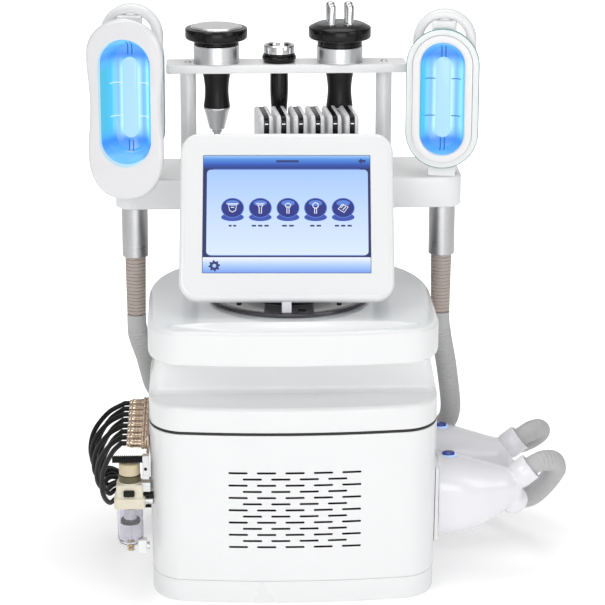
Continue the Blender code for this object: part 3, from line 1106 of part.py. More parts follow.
# Cooling handles on the shelf
def shelf_handle(prefix, side, rise):
    axis = frame(f"{prefix}_axis", (side * STEM_X, STEM_Y, 0), (0, 0, HANDLE_TURN))
    centre = FLANGE_CENTRE_Z + rise
    flange_back = FLANGE_FRONT_Y + FLANGE_THICK
    body_front = flange_back + SEAT_GAP
    body = add(f"{prefix}_body", loft_mesh(f"{prefix}_body", [
        [(x, BODY_REAR_Y, z) for x, z in stadium(BODY_WIDTH - 2 * BODY_REAR_INSET,
                                                 BODY_HEIGHT - 2 * BODY_REAR_INSET, centre)],
        [(x, BODY_REAR_Y - BODY_REAR_INSET / 2, z) for x, z in stadium(
            BODY_WIDTH - BODY_REAR_INSET / 2, BODY_HEIGHT - BODY_REAR_INSET / 2, centre)],
        [(x, BODY_REAR_Y - BODY_REAR_INSET, z) for x, z in stadium(BODY_WIDTH, BODY_HEIGHT, centre)],
        [(x, body_front, z) for x, z in stadium(BODY_WIDTH, BODY_HEIGHT, centre)]]), "gloss_white",
        parent=axis)
    join(body, box_mesh("neck_tab", (-NECK_TAB_WIDTH / 2, NECK_TAB_FRONT_Y, SHELF_TOP_Z + SEAT_GAP),
                        (NECK_TAB_WIDTH / 2, NECK_TAB_REAR_Y,
                         centre - BODY_HEIGHT / 2 + NECK_TAB_WIDTH / 2)))
    join(body, box_mesh("top_tab", (-TOP_TAB_WIDTH / 2, TOP_TAB_FRONT_Y,
                                    centre + BODY_HEIGHT / 2 - TOP_TAB_WIDTH / 2),
                        (TOP_TAB_WIDTH / 2, TOP_TAB_REAR_Y, TOP_TAB_TOP_Z + rise)))
    outer_r, inner_r = HOOP_WIDTH / 2, HOOP_WIDTH / 2 - HOOP_BAND
    mid = HOOP_TOP_Z + rise - outer_r
    low = HOOP_BOTTOM_Z + rise
    hoop_outline = ([(outer_r, low)] + arc(0, mid, outer_r, outer_r, 0, 180, STADIUM_STEPS) + [(-outer_r,
            low)]
                    + [(-inner_r, low)] + arc(0, mid, inner_r, inner_r, 180, 0, STADIUM_STEPS) + [(inner_r,
                            low)])
    join(body, front_mesh("hoop", hoop_outline, HOOP_FRONT_Y, HOOP_REAR_Y))
    window = stadium(WINDOW_WIDTH, WINDOW_HEIGHT, centre)
    rim_front = FLANGE_FRONT_Y - RIM_PROUD
    join(body, loft_mesh("rim", [
        [(x, body_front + CUT_OVERRUN, z) for x, z in stadium(RIM_WIDTH, RIM_HEIGHT, centre)],
        [(x, rim_front + EDGE_SOFT, z) for x, z in stadium(RIM_WIDTH, RIM_HEIGHT, centre)],
        [(x, rim_front, z) for x, z in stadium(RIM_WIDTH - 2 * EDGE_SOFT, RIM_HEIGHT - 2 * EDGE_SOFT,
                                               centre)]]))
    cut(body, front_mesh("body_window", stadium(WINDOW_WIDTH + 2 * CUP_GAP, WINDOW_HEIGHT + 2 * CUP_GAP,
                                                centre),
                         rim_front - CUT_OVERRUN, FLANGE_FRONT_Y + WINDOW_DEPTH + CUP_FLOOR))
    flange = add(f"{prefix}_flange", front_mesh(f"{prefix}_flange", stadium(FLANGE_WIDTH, FLANGE_HEIGHT,
            centre),
                                                FLANGE_FRONT_Y, flange_back), "clear_plastic", parent=axis)
    cut(flange, front_mesh("flange_hole", stadium(RIM_WIDTH + 2 * SEAT_GAP, RIM_HEIGHT + 2 * SEAT_GAP,
                                                  centre),
                           FLANGE_FRONT_Y - CUT_OVERRUN, flange_back + CUT_OVERRUN))
    cup_back = FLANGE_FRONT_Y + WINDOW_DEPTH + CUP_FLOOR - SEAT_GAP
    cup = add(f"{prefix}_cup", front_mesh(f"{prefix}_cup", window, FLANGE_FRONT_Y - RIM_PROUD / 2,
                                          cup_back), "cup_blue",
              parent=axis)
    wall = CUP_FLOOR
    cut(cup, loft_mesh("cup_hollow", [
        [(x, cup_back - CUP_FLOOR, z) for x, z in stadium(WINDOW_WIDTH - 4 * wall, WINDOW_HEIGHT - 4 * wall,
                                                          centre)],
        [(x, FLANGE_FRONT_Y - RIM_PROUD / 2, z) for x, z in stadium(WINDOW_WIDTH - wall / 2,
                                                                    WINDOW_HEIGHT - wall / 2, centre)],
        [(x, FLANGE_FRONT_Y - RIM_PROUD - CUT_OVERRUN, z) for x, z in stadium(WINDOW_WIDTH - wall / 4,
                                                                             WINDOW_HEIGHT - wall / 4,
                                                                                     centre)]]))
    join(cup, front_mesh("cup_core", stadium(CUP_CORE_WIDTH, CUP_CORE_HEIGHT, centre),
                         cup_back - CUP_FLOOR - CUP_CORE_PROUD,
                         cup_back - CUP_FLOOR / 2))
    sleeve_bottom = FERRULE_BOTTOM_Z - SLEEVE_LENGTH
    pitch = SLEEVE_LENGTH / SLEEVE_RIBS
    stem = [(SLEEVE_BORE_R, SHELF_TOP_Z), (SLEEVE_BORE_R, sleeve_bottom)]
    for rib in range(SLEEVE_RIBS):
        low = sleeve_bottom + rib * pitch
        r = SLEEVE_LOW_R + (SLEEVE_R - SLEEVE_LOW_R) * rib / SLEEVE_RIBS
        stem += [(r - SLEEVE_RIB, low), (r, low + pitch / 3), (r, low + 2 * pitch / 3)]
    stem += [(SLEEVE_R - SLEEVE_RIB, FERRULE_BOTTOM_Z), (FERRULE_R, FERRULE_BOTTOM_Z), (FERRULE_R,
            SHELF_TOP_Z)]
    add(f"{prefix}_stem", turned_mesh(f"{prefix}_stem", stem, SIDE_STEPS, closed=True), "brushed_tube",
        parent=axis)
    return axis


shelf_handle("right_cryo", 1, 0.0)
left_axis = shelf_handle("left_cryo", -1, LEFT_RAISE)

# Contoured cup clipped over the left handle's flange
tall = SHROUD_TOP_Z - SHROUD_BOTTOM_Z
SHROUD_BACK_Y = FLANGE_FRONT_Y - RIM_PROUD - SEAT_GAP
right_edge = [(w * SHROUD_HALF_WIDTH, SHROUD_TOP_Z - h * tall) for h, w in zip(SHROUD_HEIGHT_SHARES,
        SHROUD_WIDTH_SHARES)]
shroud_outline = right_edge + [(-x, z) for x, z in reversed(right_edge[1:-1])]
shroud_mid = (SHROUD_TOP_Z + SHROUD_BOTTOM_Z) / 2


def shroud_ring(scale, y, saddle):
    """The saddle brings the middle of the sides back from the skin side."""
    return [(x * scale,
             y + saddle * (1 - ((z - shroud_mid) / (tall / 2)) ** 2) * abs(x) / SHROUD_HALF_WIDTH,
             shroud_mid + (z - shroud_mid) * scale) for x, z in shroud_outline]


left_cryo_shroud = add("left_cryo_shroud", loft_mesh("left_cryo_shroud", [
    shroud_ring(SHROUD_BACK_SHARE, SHROUD_BACK_Y, 0),
    shroud_ring(1 - SHROUD_ROUND / SHROUD_HALF_WIDTH / 4, (SHROUD_BACK_Y + SHROUD_FRONT_Y) / 2,
                SHROUD_SADDLE / 2),
    shroud_ring(1, SHROUD_FRONT_Y + SHROUD_ROUND, SHROUD_SADDLE),
    shroud_ring(1 - SHROUD_ROUND / SHROUD_HALF_WIDTH / 3, SHROUD_FRONT_Y + SHROUD_ROUND / 3, SHROUD_SADDLE),
    shroud_ring(1 - SHROUD_ROUND / SHROUD_HALF_WIDTH, SHROUD_FRONT_Y, SHROUD_SADDLE)]), "gloss_white",
    parent=left_axis)
cut(left_cryo_shroud, front_mesh(
    "shroud_window", stadium(SHROUD_WINDOW_WIDTH, SHROUD_WINDOW_HEIGHT, SHROUD_WINDOW_Z),
    SHROUD_FRONT_Y - CUT_OVERRUN, SHROUD_BACK_Y + CUT_OVERRUN))

# Holster and two cooling handles at the right side
HOLSTER_X = CABINET_HALF_WIDTH + SEAT_GAP
SIDE_X = HOLSTER_X + HOLSTER_THICK + SEAT_GAP


def side_ring(x, centre_z, half_y, half_z, centre_y=0.0):
    points = []
    for i in range(SIDE_STEPS):
        a = math.tau * i / SIDE_STEPS
        c, s = math.cos(a), math.sin(a)
        points.append((x, centre_y + half_y * math.copysign(abs(c) ** (2 / SIDE_SQUARENESS), c),
                       centre_z + half_z * math.copysign(abs(s) ** (2 / SIDE_SQUARENESS), s)))
    return points


HOLSTER_MID_Y = (SIDE_FRONT_Y + SIDE_REAR_Y) / 2
holster_half = (SIDE_REAR_Y - SIDE_FRONT_Y) / 2 + HOLSTER_MARGIN
holster_ys = [HOLSTER_MID_Y - holster_half + 2 * holster_half * i / HOLSTER_STEPS for i in range(HOLSTER_STEPS + 1)]
side_holster = add("side_holster", loft_mesh("side_holster", [
    [(shell_side_x(y, z) + SEAT_GAP - HOLSTER_X, y, z) for y in holster_ys]
    + [(HOLSTER_THICK, y, z) for y in (holster_ys[-1], holster_ys[0])]
    for z in (HOLSTER_CENTRE_Z - HOLSTER_HALF_HEIGHT, HOLSTER_CENTRE_Z + HOLSTER_HALF_HEIGHT)]), "base_white",
    at=(HOLSTER_X, 0, 0))
BOSS_HALF_Y = SIDE_SECTION_HALF_Y[0] - SIDE_WALL - SIDE_BOSS_GAP
BOSS_HALF_Z = SIDE_SECTION_HALF_Z[0] - SIDE_WALL - SIDE_BOSS_GAP
for y in (SIDE_FRONT_Y, SIDE_REAR_Y):
    join(side_holster, loft_mesh("holster_boss", [
        side_ring(HOLSTER_THICK / 2, SIDE_SECTION_Z[0], BOSS_HALF_Y, BOSS_HALF_Z),
        side_ring(HOLSTER_THICK + HOLSTER_BOSS_LENGTH, SIDE_SECTION_Z[0],
                  BOSS_HALF_Y * SIDE_MOUTH_FLOOR_SHARE,
                  BOSS_HALF_Z * SIDE_MOUTH_FLOOR_SHARE)]), at=(HOLSTER_X, y, 0))

COLLAR_DIRECTION = Vector((math.cos(SIDE_COLLAR_RISE), 0, math.sin(SIDE_COLLAR_RISE)))
for name, y in (("front", SIDE_FRONT_Y), ("rear", SIDE_REAR_Y)):
    here = frame(f"side_{name}_axis", (SIDE_X, y, 0))
    handle = add(f"side_handle_{name}", loft_mesh(f"side_handle_{name}", [
        side_ring(x, cz, hy, hz) for x, cz, hy, hz in zip(
            SIDE_SECTION_X, SIDE_SECTION_Z, SIDE_SECTION_HALF_Y, SIDE_SECTION_HALF_Z)]), "gloss_white", parent=here)
    lobe = bmesh.new()
    bmesh.ops.create_uvsphere(lobe, u_segments=LOBE_STEPS, v_segments=LOBE_STEPS // 2, radius=SIDE_LOBE_R)
    join(handle, finish_mesh(lobe, "lobe"), at=(SIDE_LOBE_X, 0, SIDE_LOBE_Z))
    start = (SIDE_COLLAR_START_X, 0, SIDE_COLLAR_START_Z)
    upright = (0, math.pi / 2 - SIDE_COLLAR_RISE, 0)
    join(handle, turned_mesh("collar", [
        (SIDE_NECK_R, 0), (SIDE_NECK_R, SIDE_COLLAR_LENGTH * SIDE_NECK_SHARE),
        (SIDE_COLLAR_R, SIDE_COLLAR_LENGTH * SIDE_NECK_SHARE), (SIDE_COLLAR_R, SIDE_COLLAR_LENGTH)], SIDE_STEPS),
        at=start, turn=upright)
    cut(handle, turned_mesh("collar_socket", [
        (SIDE_SOCKET_R, SIDE_COLLAR_LENGTH - SIDE_SOCKET_DEPTH),
        (SIDE_SOCKET_R, SIDE_COLLAR_LENGTH + CUT_OVERRUN)], SIDE_STEPS), at=start, turn=upright)
    mouth_y, mouth_z = SIDE_SECTION_HALF_Y[0] - SIDE_WALL, SIDE_SECTION_HALF_Z[0] - SIDE_WALL
    cut(handle, loft_mesh("mouth", [
        side_ring(-CUT_OVERRUN, SIDE_SECTION_Z[0], mouth_y, mouth_z),
        side_ring(0.0, SIDE_SECTION_Z[0], mouth_y, mouth_z),
        side_ring(SIDE_MOUTH_DEPTH, SIDE_SECTION_Z[0], mouth_y * SIDE_MOUTH_FLOOR_SHARE,
                  mouth_z * SIDE_MOUTH_FLOOR_SHARE)]))
    oval = [(BUTTON_X + BUTTON_HALF[0] * math.cos(math.tau * i / BUTTON_STEPS),
             BUTTON_HALF[1] * math.sin(math.tau * i / BUTTON_STEPS)) for i in range(BUTTON_STEPS)]

    def oval_ring(grow, z):
        return [(BUTTON_X + (x - BUTTON_X) * (1 + grow / BUTTON_HALF[0]), y * (1 + grow / BUTTON_HALF[1]),
                 z) for x, y in oval]

    cut(handle, loft_mesh("button_pocket", [oval_ring(BUTTON_GAP, BUTTON_SEAT_Z), oval_ring(
        BUTTON_GAP, BUTTON_SEAT_Z + BUTTON_DEPTH + BUTTON_TRAVEL + CUT_OVERRUN)]))
    add(f"side_button_{name}", loft_mesh(f"side_button_{name}", [
        oval_ring(0, BUTTON_SEAT_Z + BUTTON_TRAVEL + SEAT_GAP), oval_ring(0, BUTTON_SEAT_Z + BUTTON_DEPTH),
        oval_ring(-BUTTON_PROUD, BUTTON_SEAT_Z + BUTTON_DEPTH + BUTTON_PROUD)]), "button_navy", parent=here)

# Hoses: the shelf handles' hoses hang to the glands behind, the side handles' hoses loop and go back
SLEEVE_END_Z = FERRULE_BOTTOM_Z - SLEEVE_LENGTH - SEAT_GAP


def beside(out, y, z, side=1):
    """A point at a distance out from the cabinet's side."""
    return (side * (CABINET_HALF_WIDTH + out), y, z)


RIGHT_ROUTE = [
    (STEM_X, STEM_Y, SLEEVE_END_Z), (STEM_X, STEM_Y, SLEEVE_END_Z - HOSE_PLAIN), beside(0.024, 0.077, 0.262),
    beside(0.030, 0.090, 0.232), beside(0.035, 0.105, 0.2), beside(0.04, 0.121, 0.168), beside(0.04, 0.14, 0.139),
    beside(0.029, 0.162, 0.119), beside(0.007, 0.184, 0.114), (0.155, 0.202, 0.121), (0.124, 0.216, 0.136),
    (0.099, 0.224, 0.153), (0.08, 0.221, 0.168), (GLAND_X, gland_y + HOSE_PLAIN, GLAND_Z), (GLAND_X, gland_y, GLAND_Z)]
LEFT_ROUTE = [
    (-STEM_X, STEM_Y, SLEEVE_END_Z), (-STEM_X, STEM_Y, SLEEVE_END_Z - HOSE_PLAIN), beside(0.008, 0.09, 0.252, -1),
    beside(0.002, 0.12, 0.214, -1), beside(-0.005, 0.155, 0.18, -1), (-0.155, 0.19, 0.158), (-0.126, 0.213, 0.153),
    (-0.099, 0.223, 0.159), (-0.08, 0.22, 0.17), (-GLAND_X, gland_y + HOSE_PLAIN, GLAND_Z),
    (-GLAND_X, gland_y, GLAND_Z)]
_, right_length = ribbed_hose("right_cryo_hose", RIGHT_ROUTE, HOSE_RIBS)
_, left_length = ribbed_hose("left_cryo_hose", LEFT_ROUTE, HOSE_RIBS)
print(f"right hose {right_length:.3f} m, left hose {left_length:.3f} m")

SIDE_OUT = Vector((SIDE_X + SIDE_COLLAR_START_X, 0, SIDE_COLLAR_START_Z)) + COLLAR_DIRECTION * (
    SIDE_COLLAR_LENGTH - SIDE_SOCKET_DEPTH + SLIDE_GAP)
SIDE_NEXT = SIDE_OUT + COLLAR_DIRECTION * SIDE_HOSE_LEAD
for name, y, gland_x, gland_z, route in (
        ("front", SIDE_FRONT_Y, INNER_GLAND_X, LOW_GLAND_Z, [
            beside(0.1389, -0.0548, 0.1464), beside(0.1506, -0.0474, 0.145), beside(0.1594, -0.0348, 0.1388),
            beside(0.1644, -0.0217, 0.1241), beside(0.1635, -0.01, 0.115), beside(0.16, 0.004, 0.1005),
            beside(0.153, 0.0185, 0.084), beside(0.144, 0.0335, 0.0675), beside(0.1335, 0.05, 0.056),
            beside(0.122, 0.068, 0.05), beside(0.109, 0.09, 0.045), beside(0.096, 0.114, 0.0405),
            beside(0.079, 0.14, 0.036), beside(0.056, 0.165, 0.031), beside(0.027, 0.187, 0.028),
            (0.172, 0.205, 0.028), (0.135, 0.218, 0.03), (0.1, 0.225, 0.032), (0.066, 0.228, 0.037),
            (0.042, 0.221, 0.044)]),
        ("rear", SIDE_REAR_Y, GLAND_X, MIDDLE_GLAND_Z, [
            beside(0.1384, 0.0575, 0.147), beside(0.1491, 0.0661, 0.1479), beside(0.1561, 0.0775, 0.1433),
            beside(0.1574, 0.0891, 0.1354), beside(0.154, 0.103, 0.1255), beside(0.1465, 0.116, 0.115),
            beside(0.136, 0.13, 0.105), beside(0.122, 0.143, 0.097), beside(0.104, 0.156, 0.09),
            beside(0.081, 0.168, 0.085), beside(0.056, 0.18, 0.082), beside(0.029, 0.195, 0.082),
            (0.175, 0.213, 0.084), (0.138, 0.226, 0.084), (0.108, 0.229, 0.08), (0.084, 0.221, 0.077)])):
    way = [tuple(SIDE_OUT + Vector((0, y, 0))), tuple(SIDE_NEXT + Vector((0, y, 0))), *route]
    way += [(gland_x, gland_y + HOSE_PLAIN, gland_z), (gland_x, gland_y, gland_z)]
    _, length = ribbed_hose(f"side_hose_{name}", way, SIDE_HOSE_RIBS, lead=SIDE_HOSE_LEAD)
    print(f"side hose {name} {length:.3f} m")

# Connector row at the left side
PLATE_X = -CABINET_HALF_WIDTH - SEAT_GAP
plugs_y = [PLUG_FIRST_Y + i * PLUG_PITCH for i in range(PLUG_COUNT)]
connector_block = add("connector_block", box_mesh(
    "connector_block",
    (PLATE_X - CONNECTOR_PLATE_THICK, plugs_y[0] - CONNECTOR_PLATE_MARGIN, PLUG_Z - CONNECTOR_PLATE_HALF_Z),
    (PLATE_X, plugs_y[-1] + CONNECTOR_PLATE_MARGIN, PLUG_Z + CONNECTOR_PLATE_HALF_Z)), "plug_champagne")
plug_profile = [(PLUG_NUT_R, 0), (PLUG_NUT_R, CONNECTOR_PLATE_THICK + PLUG_NUT_LENGTH),
                (PLUG_R, CONNECTOR_PLATE_THICK + PLUG_NUT_LENGTH), (PLUG_R, PLUG_LENGTH)]
for y in plugs_y:
    join(connector_block, turned_mesh("plug", plug_profile, PLUG_STEPS),
         at=(PLATE_X - CONNECTOR_PLATE_THICK / 2, y, PLUG_Z), turn=(0, -math.pi / 2, 0))
PLUG_TIP_X = PLATE_X - CONNECTOR_PLATE_THICK / 2 - PLUG_LENGTH

# Cables: each leaves its plug outwards, drops in a loop and goes back to the clamp, then on as one bundle
cable_loom = add("cable_loom", box_mesh("cable_loom", tuple(-h for h in CLAMP_HALF), CLAMP_HALF), "cable_black",
                 at=(CLAMP_X, CLAMP_Y, CLAMP_Z))
total = 0.0
for index, y in enumerate(plugs_y):
    column, row = index % CABLE_ROW_COUNT, index // CABLE_ROW_COUNT
    end = Vector((CLAMP_X + (column - (CABLE_ROW_COUNT - 1) / 2) * CABLE_ROW_PITCH,
                  CLAMP_Y - CLAMP_HALF[1] / 2,
                  CLAMP_Z + (row - 0.5) * CABLE_ROW_PITCH))
    reach, low = CABLE_REACHES[index], CABLE_LOWS[index]
    start = (PLUG_TIP_X - SEAT_GAP, y, PLUG_Z)
    route = [start, (start[0] - 2 * CABLE_R, y, PLUG_Z)]
    route += [(start[0] - reach * out, y + (end.y - y) * along, PLUG_Z + (low - PLUG_Z) * down)
              for out, along, down in CABLE_SHAPE]
    route.append(tuple(end))
    points, length = smooth_path(route[1:], CABLE_SPACING)
    total += length
    points = [start, *points]
    join(cable_loom, tube_mesh("cable", points, CABLE_R, resolution=1))
BUNDLE_ROUTE = [
    (CLAMP_X, CLAMP_Y + CLAMP_HALF[1] / 2, CLAMP_Z), beside(0.009, 0.135, 0.046, -1), (-0.168, 0.172, 0.044),
    (-0.12, 0.192, 0.04), (-0.06, 0.197, 0.042), (-0.018, 0.196, 0.075), (-0.012, 0.196, 0.15), (-0.012, 0.19, 0.26),
    (-0.012, 0.187, 0.355), (-0.012, 0.166, 0.4), (-0.012, 0.142, 0.438), (-0.012, 0.142, SHELF_BOTTOM_Z - SEAT_GAP)]
bundle, bundle_length = smooth_path(BUNDLE_ROUTE[:-1], 2.5 * 2 * BUNDLE_R)
join(cable_loom, tube_mesh("bundle", [*bundle, BUNDLE_ROUTE[-1]], BUNDLE_R))
print(f"cables {total / PLUG_COUNT:.3f} m each to the clamp, bundle {bundle_length:.3f} m")

# Filter and regulator
filter_at = (FILTER_X, FILTER_Y, 0)
add("filter_knob", turned_mesh("filter_knob", [
    (KNOB_R, KNOB_BOTTOM_Z), (KNOB_R, KNOB_BOTTOM_Z + KNOB_HEIGHT - TABLE_EDGE),
    (KNOB_R - TABLE_EDGE, KNOB_BOTTOM_Z + KNOB_HEIGHT)], FILTER_STEPS), "filter_cream", at=filter_at)
filter_head = add("filter_head", prism_mesh(
    "filter_head", rounded_box(FILTER_BLOCK_HALF, FILTER_BLOCK_HALF_Y, EDGE_SOFT * 2, 2), FILTER_BLOCK_BOTTOM_Z,
    FILTER_UPPER_BOTTOM_Z), "filter_cream", at=filter_at)
join(filter_head, turned_mesh("filter_upper", [
    (FILTER_UPPER_R, FILTER_UPPER_BOTTOM_Z - FLOOR), (FILTER_UPPER_R, NECK_BAND_BOTTOM_Z),
    (NECK_BAND_R, NECK_BAND_BOTTOM_Z), (NECK_BAND_R, KNOB_BOTTOM_Z - SEAT_GAP)], FILTER_STEPS),
    at=filter_at)
bracket_reach = -shell_side_x(FILTER_Y + BRACKET_HALF_Y, NECK_BAND_BOTTOM_Z) - SEAT_GAP - FILTER_X
join(filter_head, box_mesh(
    "bracket", (0, -BRACKET_HALF_Y, FILTER_UPPER_BOTTOM_Z + EDGE_SOFT),
    (bracket_reach, BRACKET_HALF_Y, NECK_BAND_BOTTOM_Z - EDGE_SOFT)), at=filter_at)
add("filter_bowl", turned_mesh("filter_bowl", [
    (BOWL_BORE_R, DRAIN_BOTTOM_Z), (DRAIN_R * DRAIN_TIP_SHARE, DRAIN_BOTTOM_Z),
    (DRAIN_R * DRAIN_TIP_SHARE, DRAIN_BOTTOM_Z + DRAIN_R), (DRAIN_R, DRAIN_BOTTOM_Z + DRAIN_R),
    (DRAIN_R, BOWL_BOTTOM_Z), (BOWL_LOW_R, BOWL_BOTTOM_Z), (BOWL_R, BOWL_BOTTOM_Z + BOWL_LOW_R),
    (BOWL_R, FILTER_BLOCK_BOTTOM_Z - SEAT_GAP), (BOWL_R - BOWL_WALL, FILTER_BLOCK_BOTTOM_Z - SEAT_GAP),
    (BOWL_R - BOWL_WALL, BOWL_BOTTOM_Z + BOWL_LOW_R),
    (BOWL_LOW_R - BOWL_WALL, BOWL_BOTTOM_Z + BOWL_WALL), (BOWL_BORE_R, BOWL_BOTTOM_Z + BOWL_WALL)],
    FILTER_STEPS,
    closed=True), "clear_plastic", at=filter_at)
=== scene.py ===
import json
import math

import bmesh
import bpy
import numpy as np
from mathutils import Matrix, Vector


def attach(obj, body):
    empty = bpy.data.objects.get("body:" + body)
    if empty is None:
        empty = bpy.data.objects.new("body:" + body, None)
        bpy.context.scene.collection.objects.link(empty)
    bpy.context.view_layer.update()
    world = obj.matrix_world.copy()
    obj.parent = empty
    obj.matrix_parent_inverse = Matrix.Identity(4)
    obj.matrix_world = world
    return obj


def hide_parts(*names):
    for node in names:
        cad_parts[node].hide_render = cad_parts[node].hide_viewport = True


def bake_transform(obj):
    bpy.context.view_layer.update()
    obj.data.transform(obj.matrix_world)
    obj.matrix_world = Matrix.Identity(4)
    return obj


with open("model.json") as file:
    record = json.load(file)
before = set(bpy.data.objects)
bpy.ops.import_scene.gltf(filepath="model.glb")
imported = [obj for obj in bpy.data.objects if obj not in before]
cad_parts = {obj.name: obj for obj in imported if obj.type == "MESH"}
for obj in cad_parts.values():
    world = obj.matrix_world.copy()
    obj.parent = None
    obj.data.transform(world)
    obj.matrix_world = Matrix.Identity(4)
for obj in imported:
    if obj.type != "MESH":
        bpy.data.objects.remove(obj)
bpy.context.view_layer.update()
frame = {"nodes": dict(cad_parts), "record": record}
MM = 0.001


def new_object(name, data):
    made = bpy.data.objects.new(name, data)
    bpy.context.scene.collection.objects.link(made)
    return made


# Camera: the photograph's viewpoint, in a frame PHOTO pixels wide and high
PHOTO, SENSOR = 605, 36.0
FOCAL_PX, AXIS_PX = 2472.7, 290.42
LOOK_DOWN, LOOK_ASIDE = 16.38, -2.0
camera = new_object("camera", bpy.data.cameras.new("camera"))
camera.data.sensor_width = SENSOR
camera.data.lens = FOCAL_PX * SENSOR / PHOTO
camera.data.shift_x = (PHOTO / 2 - AXIS_PX) / PHOTO
camera.data.clip_end = 50
camera.location = (-0.1061, -3.0381, 1.24)
camera.rotation_euler = (math.radians(90 - LOOK_DOWN), 0, math.radians(LOOK_ASIDE))
bpy.context.scene.camera = camera
bpy.context.scene.view_settings.view_transform = "Standard"

# Building blocks
SHARP = 32


def smooth(mesh, angle=SHARP):
    mesh.shade_smooth()
    mesh.set_sharp_from_angle(angle=math.radians(angle))
    return mesh


def finish_mesh(bm, angle=SHARP):
    bmesh.ops.recalc_face_normals(bm, faces=bm.faces)
    bmesh.ops.scale(bm, vec=(MM, MM, MM), verts=bm.verts)
    mesh = bpy.data.meshes.new("mesh")
    bm.to_mesh(mesh)
    bm.free()
    return smooth(mesh, angle)


def loft(rings, closed=False, angle=SHARP):
    """Quads between rings of equal count; one-point rings close to a tip."""
    bm = bmesh.new()
    rows = [[bm.verts.new(p) for p in ring] for ring in rings]
    for low, high in list(zip(rows, rows[1:])) + ([(rows[-1], rows[0])] if closed else []):
        count = max(len(low), len(high))
        for i in range(count):
            j = (i + 1) % count
            if len(low) == 1:
                bm.faces.new((low[0], high[j], high[i]))
            elif len(high) == 1:
                bm.faces.new((low[i], low[j], high[0]))
            else:
                bm.faces.new((low[i], low[j], high[j], high[i]))
    if not closed:
        for row in (rows[0], rows[-1]):
            if len(row) > 2:
                bm.faces.new(row)
    return finish_mesh(bm, angle)


def at_z(outline, z):
    return [(x, y, z) for x, y in outline]


def at_y(outline, y):
    return [(x, y, z) for x, z in outline]


def prism(outline, z0, z1):
    return loft([at_z(outline, z0), at_z(outline, z1)])


def front(outline, y0, y1):
    return loft([at_y(outline, y1), at_y(outline, y0)])


def side(outline, x0, x1):
    return loft([[(x, y, z) for y, z in outline] for x in (x0, x1)])


def box(low, high):
    (x0, y0, z0), (x1, y1, z1) = low, high
    return prism([(x0, y0), (x1, y0), (x1, y1), (x0, y1)], z0, z1)


def around(steps):
    """The cosine and sine of evenly spaced angles of one turn."""
    return [(math.cos(math.tau * i / steps), math.sin(math.tau * i / steps)) for i in range(steps)]


def turned(profile, steps=64, closed=False):
    """A turned shape about Z from (radius, height) pairs."""
    return loft([[(r * c, r * s, z) for c, s in around(steps)] if r else [(0, 0, z)] for r, z in profile], closed)


def arc(cx, cy, rx, ry, start, end, steps):
    angles = [math.radians(start + (end - start) * i / steps) for i in range(steps + 1)]
    return [(cx + rx * math.cos(a), cy + ry * math.sin(a)) for a in angles]


def oval(x, y, rx, ry, count=64):
    return arc(x, y, rx, ry, 0, 360 - 360 / count, count - 1)


def rounded(half_x, half_y, corner, steps=8, centre=(0, 0)):
    points = []
    for sx, sy, start in ((1, -1, -90), (1, 1, 0), (-1, 1, 90), (-1, -1, 180)):
        points += arc(centre[0] + sx * (half_x - corner), centre[1] + sy * (half_y - corner), corner, corner, start,
                      start + 90, steps)
    return points


def stadium(width, height, centre=0.0, steps=32):
    r, run = width / 2, (height - width) / 2
    return arc(0, centre + run, r, r, 0, 180, steps) + arc(0, centre - run, r, r, 180, 360, steps)


def hoops(levels, mid=None, steps=32):
    """Stadium rings, each of a width, a height and a Y, about one mid height or the level's own."""
    return [at_y(stadium(wide, tall, own[0] if own else mid, steps), y) for wide, tall, y, *own in levels]


def fillet(across, up, steps):
    """The steps of a rounded edge: how far it has drawn in and how far it has risen."""
    return [(across * (1 - math.cos(a)), up * math.sin(a)) for a in np.linspace(0, math.pi / 2, steps)]


def spline(points, spacing):
    """Evenly spaced points on a smooth curve through the route's points, and its length."""
    pts = [np.array(p, float) for p in points]
    pts = [2 * pts[0] - pts[1]] + pts + [2 * pts[-1] - pts[-2]]
    fine = []
    for a, b, c, d in zip(pts, pts[1:], pts[2:], pts[3:]):
        for t in np.linspace(0, 1, 40, endpoint=False):
            fine.append(0.5 * (2 * b + (c - a) * t + (2 * a - 5 * b + 4 * c - d) * t**2
                               + (3 * b - a - 3 * c + d) * t**3))
    fine = np.array(fine + [pts[-2]])
    run = np.concatenate([[0], np.cumsum(np.linalg.norm(np.diff(fine, axis=0), axis=1))])
    at = np.linspace(0, run[-1], max(2, int(round(run[-1] / spacing)) + 1))
    return np.stack([np.interp(at, run, fine[:, k]) for k in range(fine.shape[1])], axis=1), run[-1]


def curve_profile(points, spacing=1.5):
    return [(p[0], p[2]) for p in spline([(r, 0, z) for r, z in points], spacing)[0]]


def tangents_of(path):
    tangents = np.gradient(path, axis=0)
    return tangents / np.linalg.norm(tangents, axis=1)[:, None]


def sweep(path, radii, steps=32):
    """A tube along a path, with one radius for each of its points and flat ends."""
    path = np.array(path, float)
    tangents = tangents_of(path)
    up = np.cross(tangents[0], (0.3, 0.9, 0.2))
    rings = []
    for p, t, r in zip(path, tangents, radii):
        up = up - t * np.dot(up, t)
        up /= np.linalg.norm(up)
        across = np.cross(t, up)
        rings.append([tuple(p + r * (c * up + s * across)) for c, s in around(steps)])
    return loft(rings, angle=50)


def bar(centre_line, section):
    """A bar of one section along a line in X and Z; the section's pairs run across the line and along Y."""
    path = np.array(centre_line, float)
    return loft([[(p[0] - t[1] * s, y, p[1] + t[0] * s) for s, y in section]
                 for p, t in zip(path, tangents_of(path))], angle=50)


def add(name, mesh, look, stands_for=None, body="machine", at=None):
    """A piece of the model: its body is one name; a tuple's contents are not used, and such a piece is baked where it
    stands.
    """
    mesh.name = name
    piece = new_object(name, mesh)
    if at is not None:
        piece.matrix_world = at
    mesh.materials.append(MATERIALS[look])
    if isinstance(body, tuple):
        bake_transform(piece)
    else:
        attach(piece, body)
    if stands_for:
        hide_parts(stands_for)
    return piece


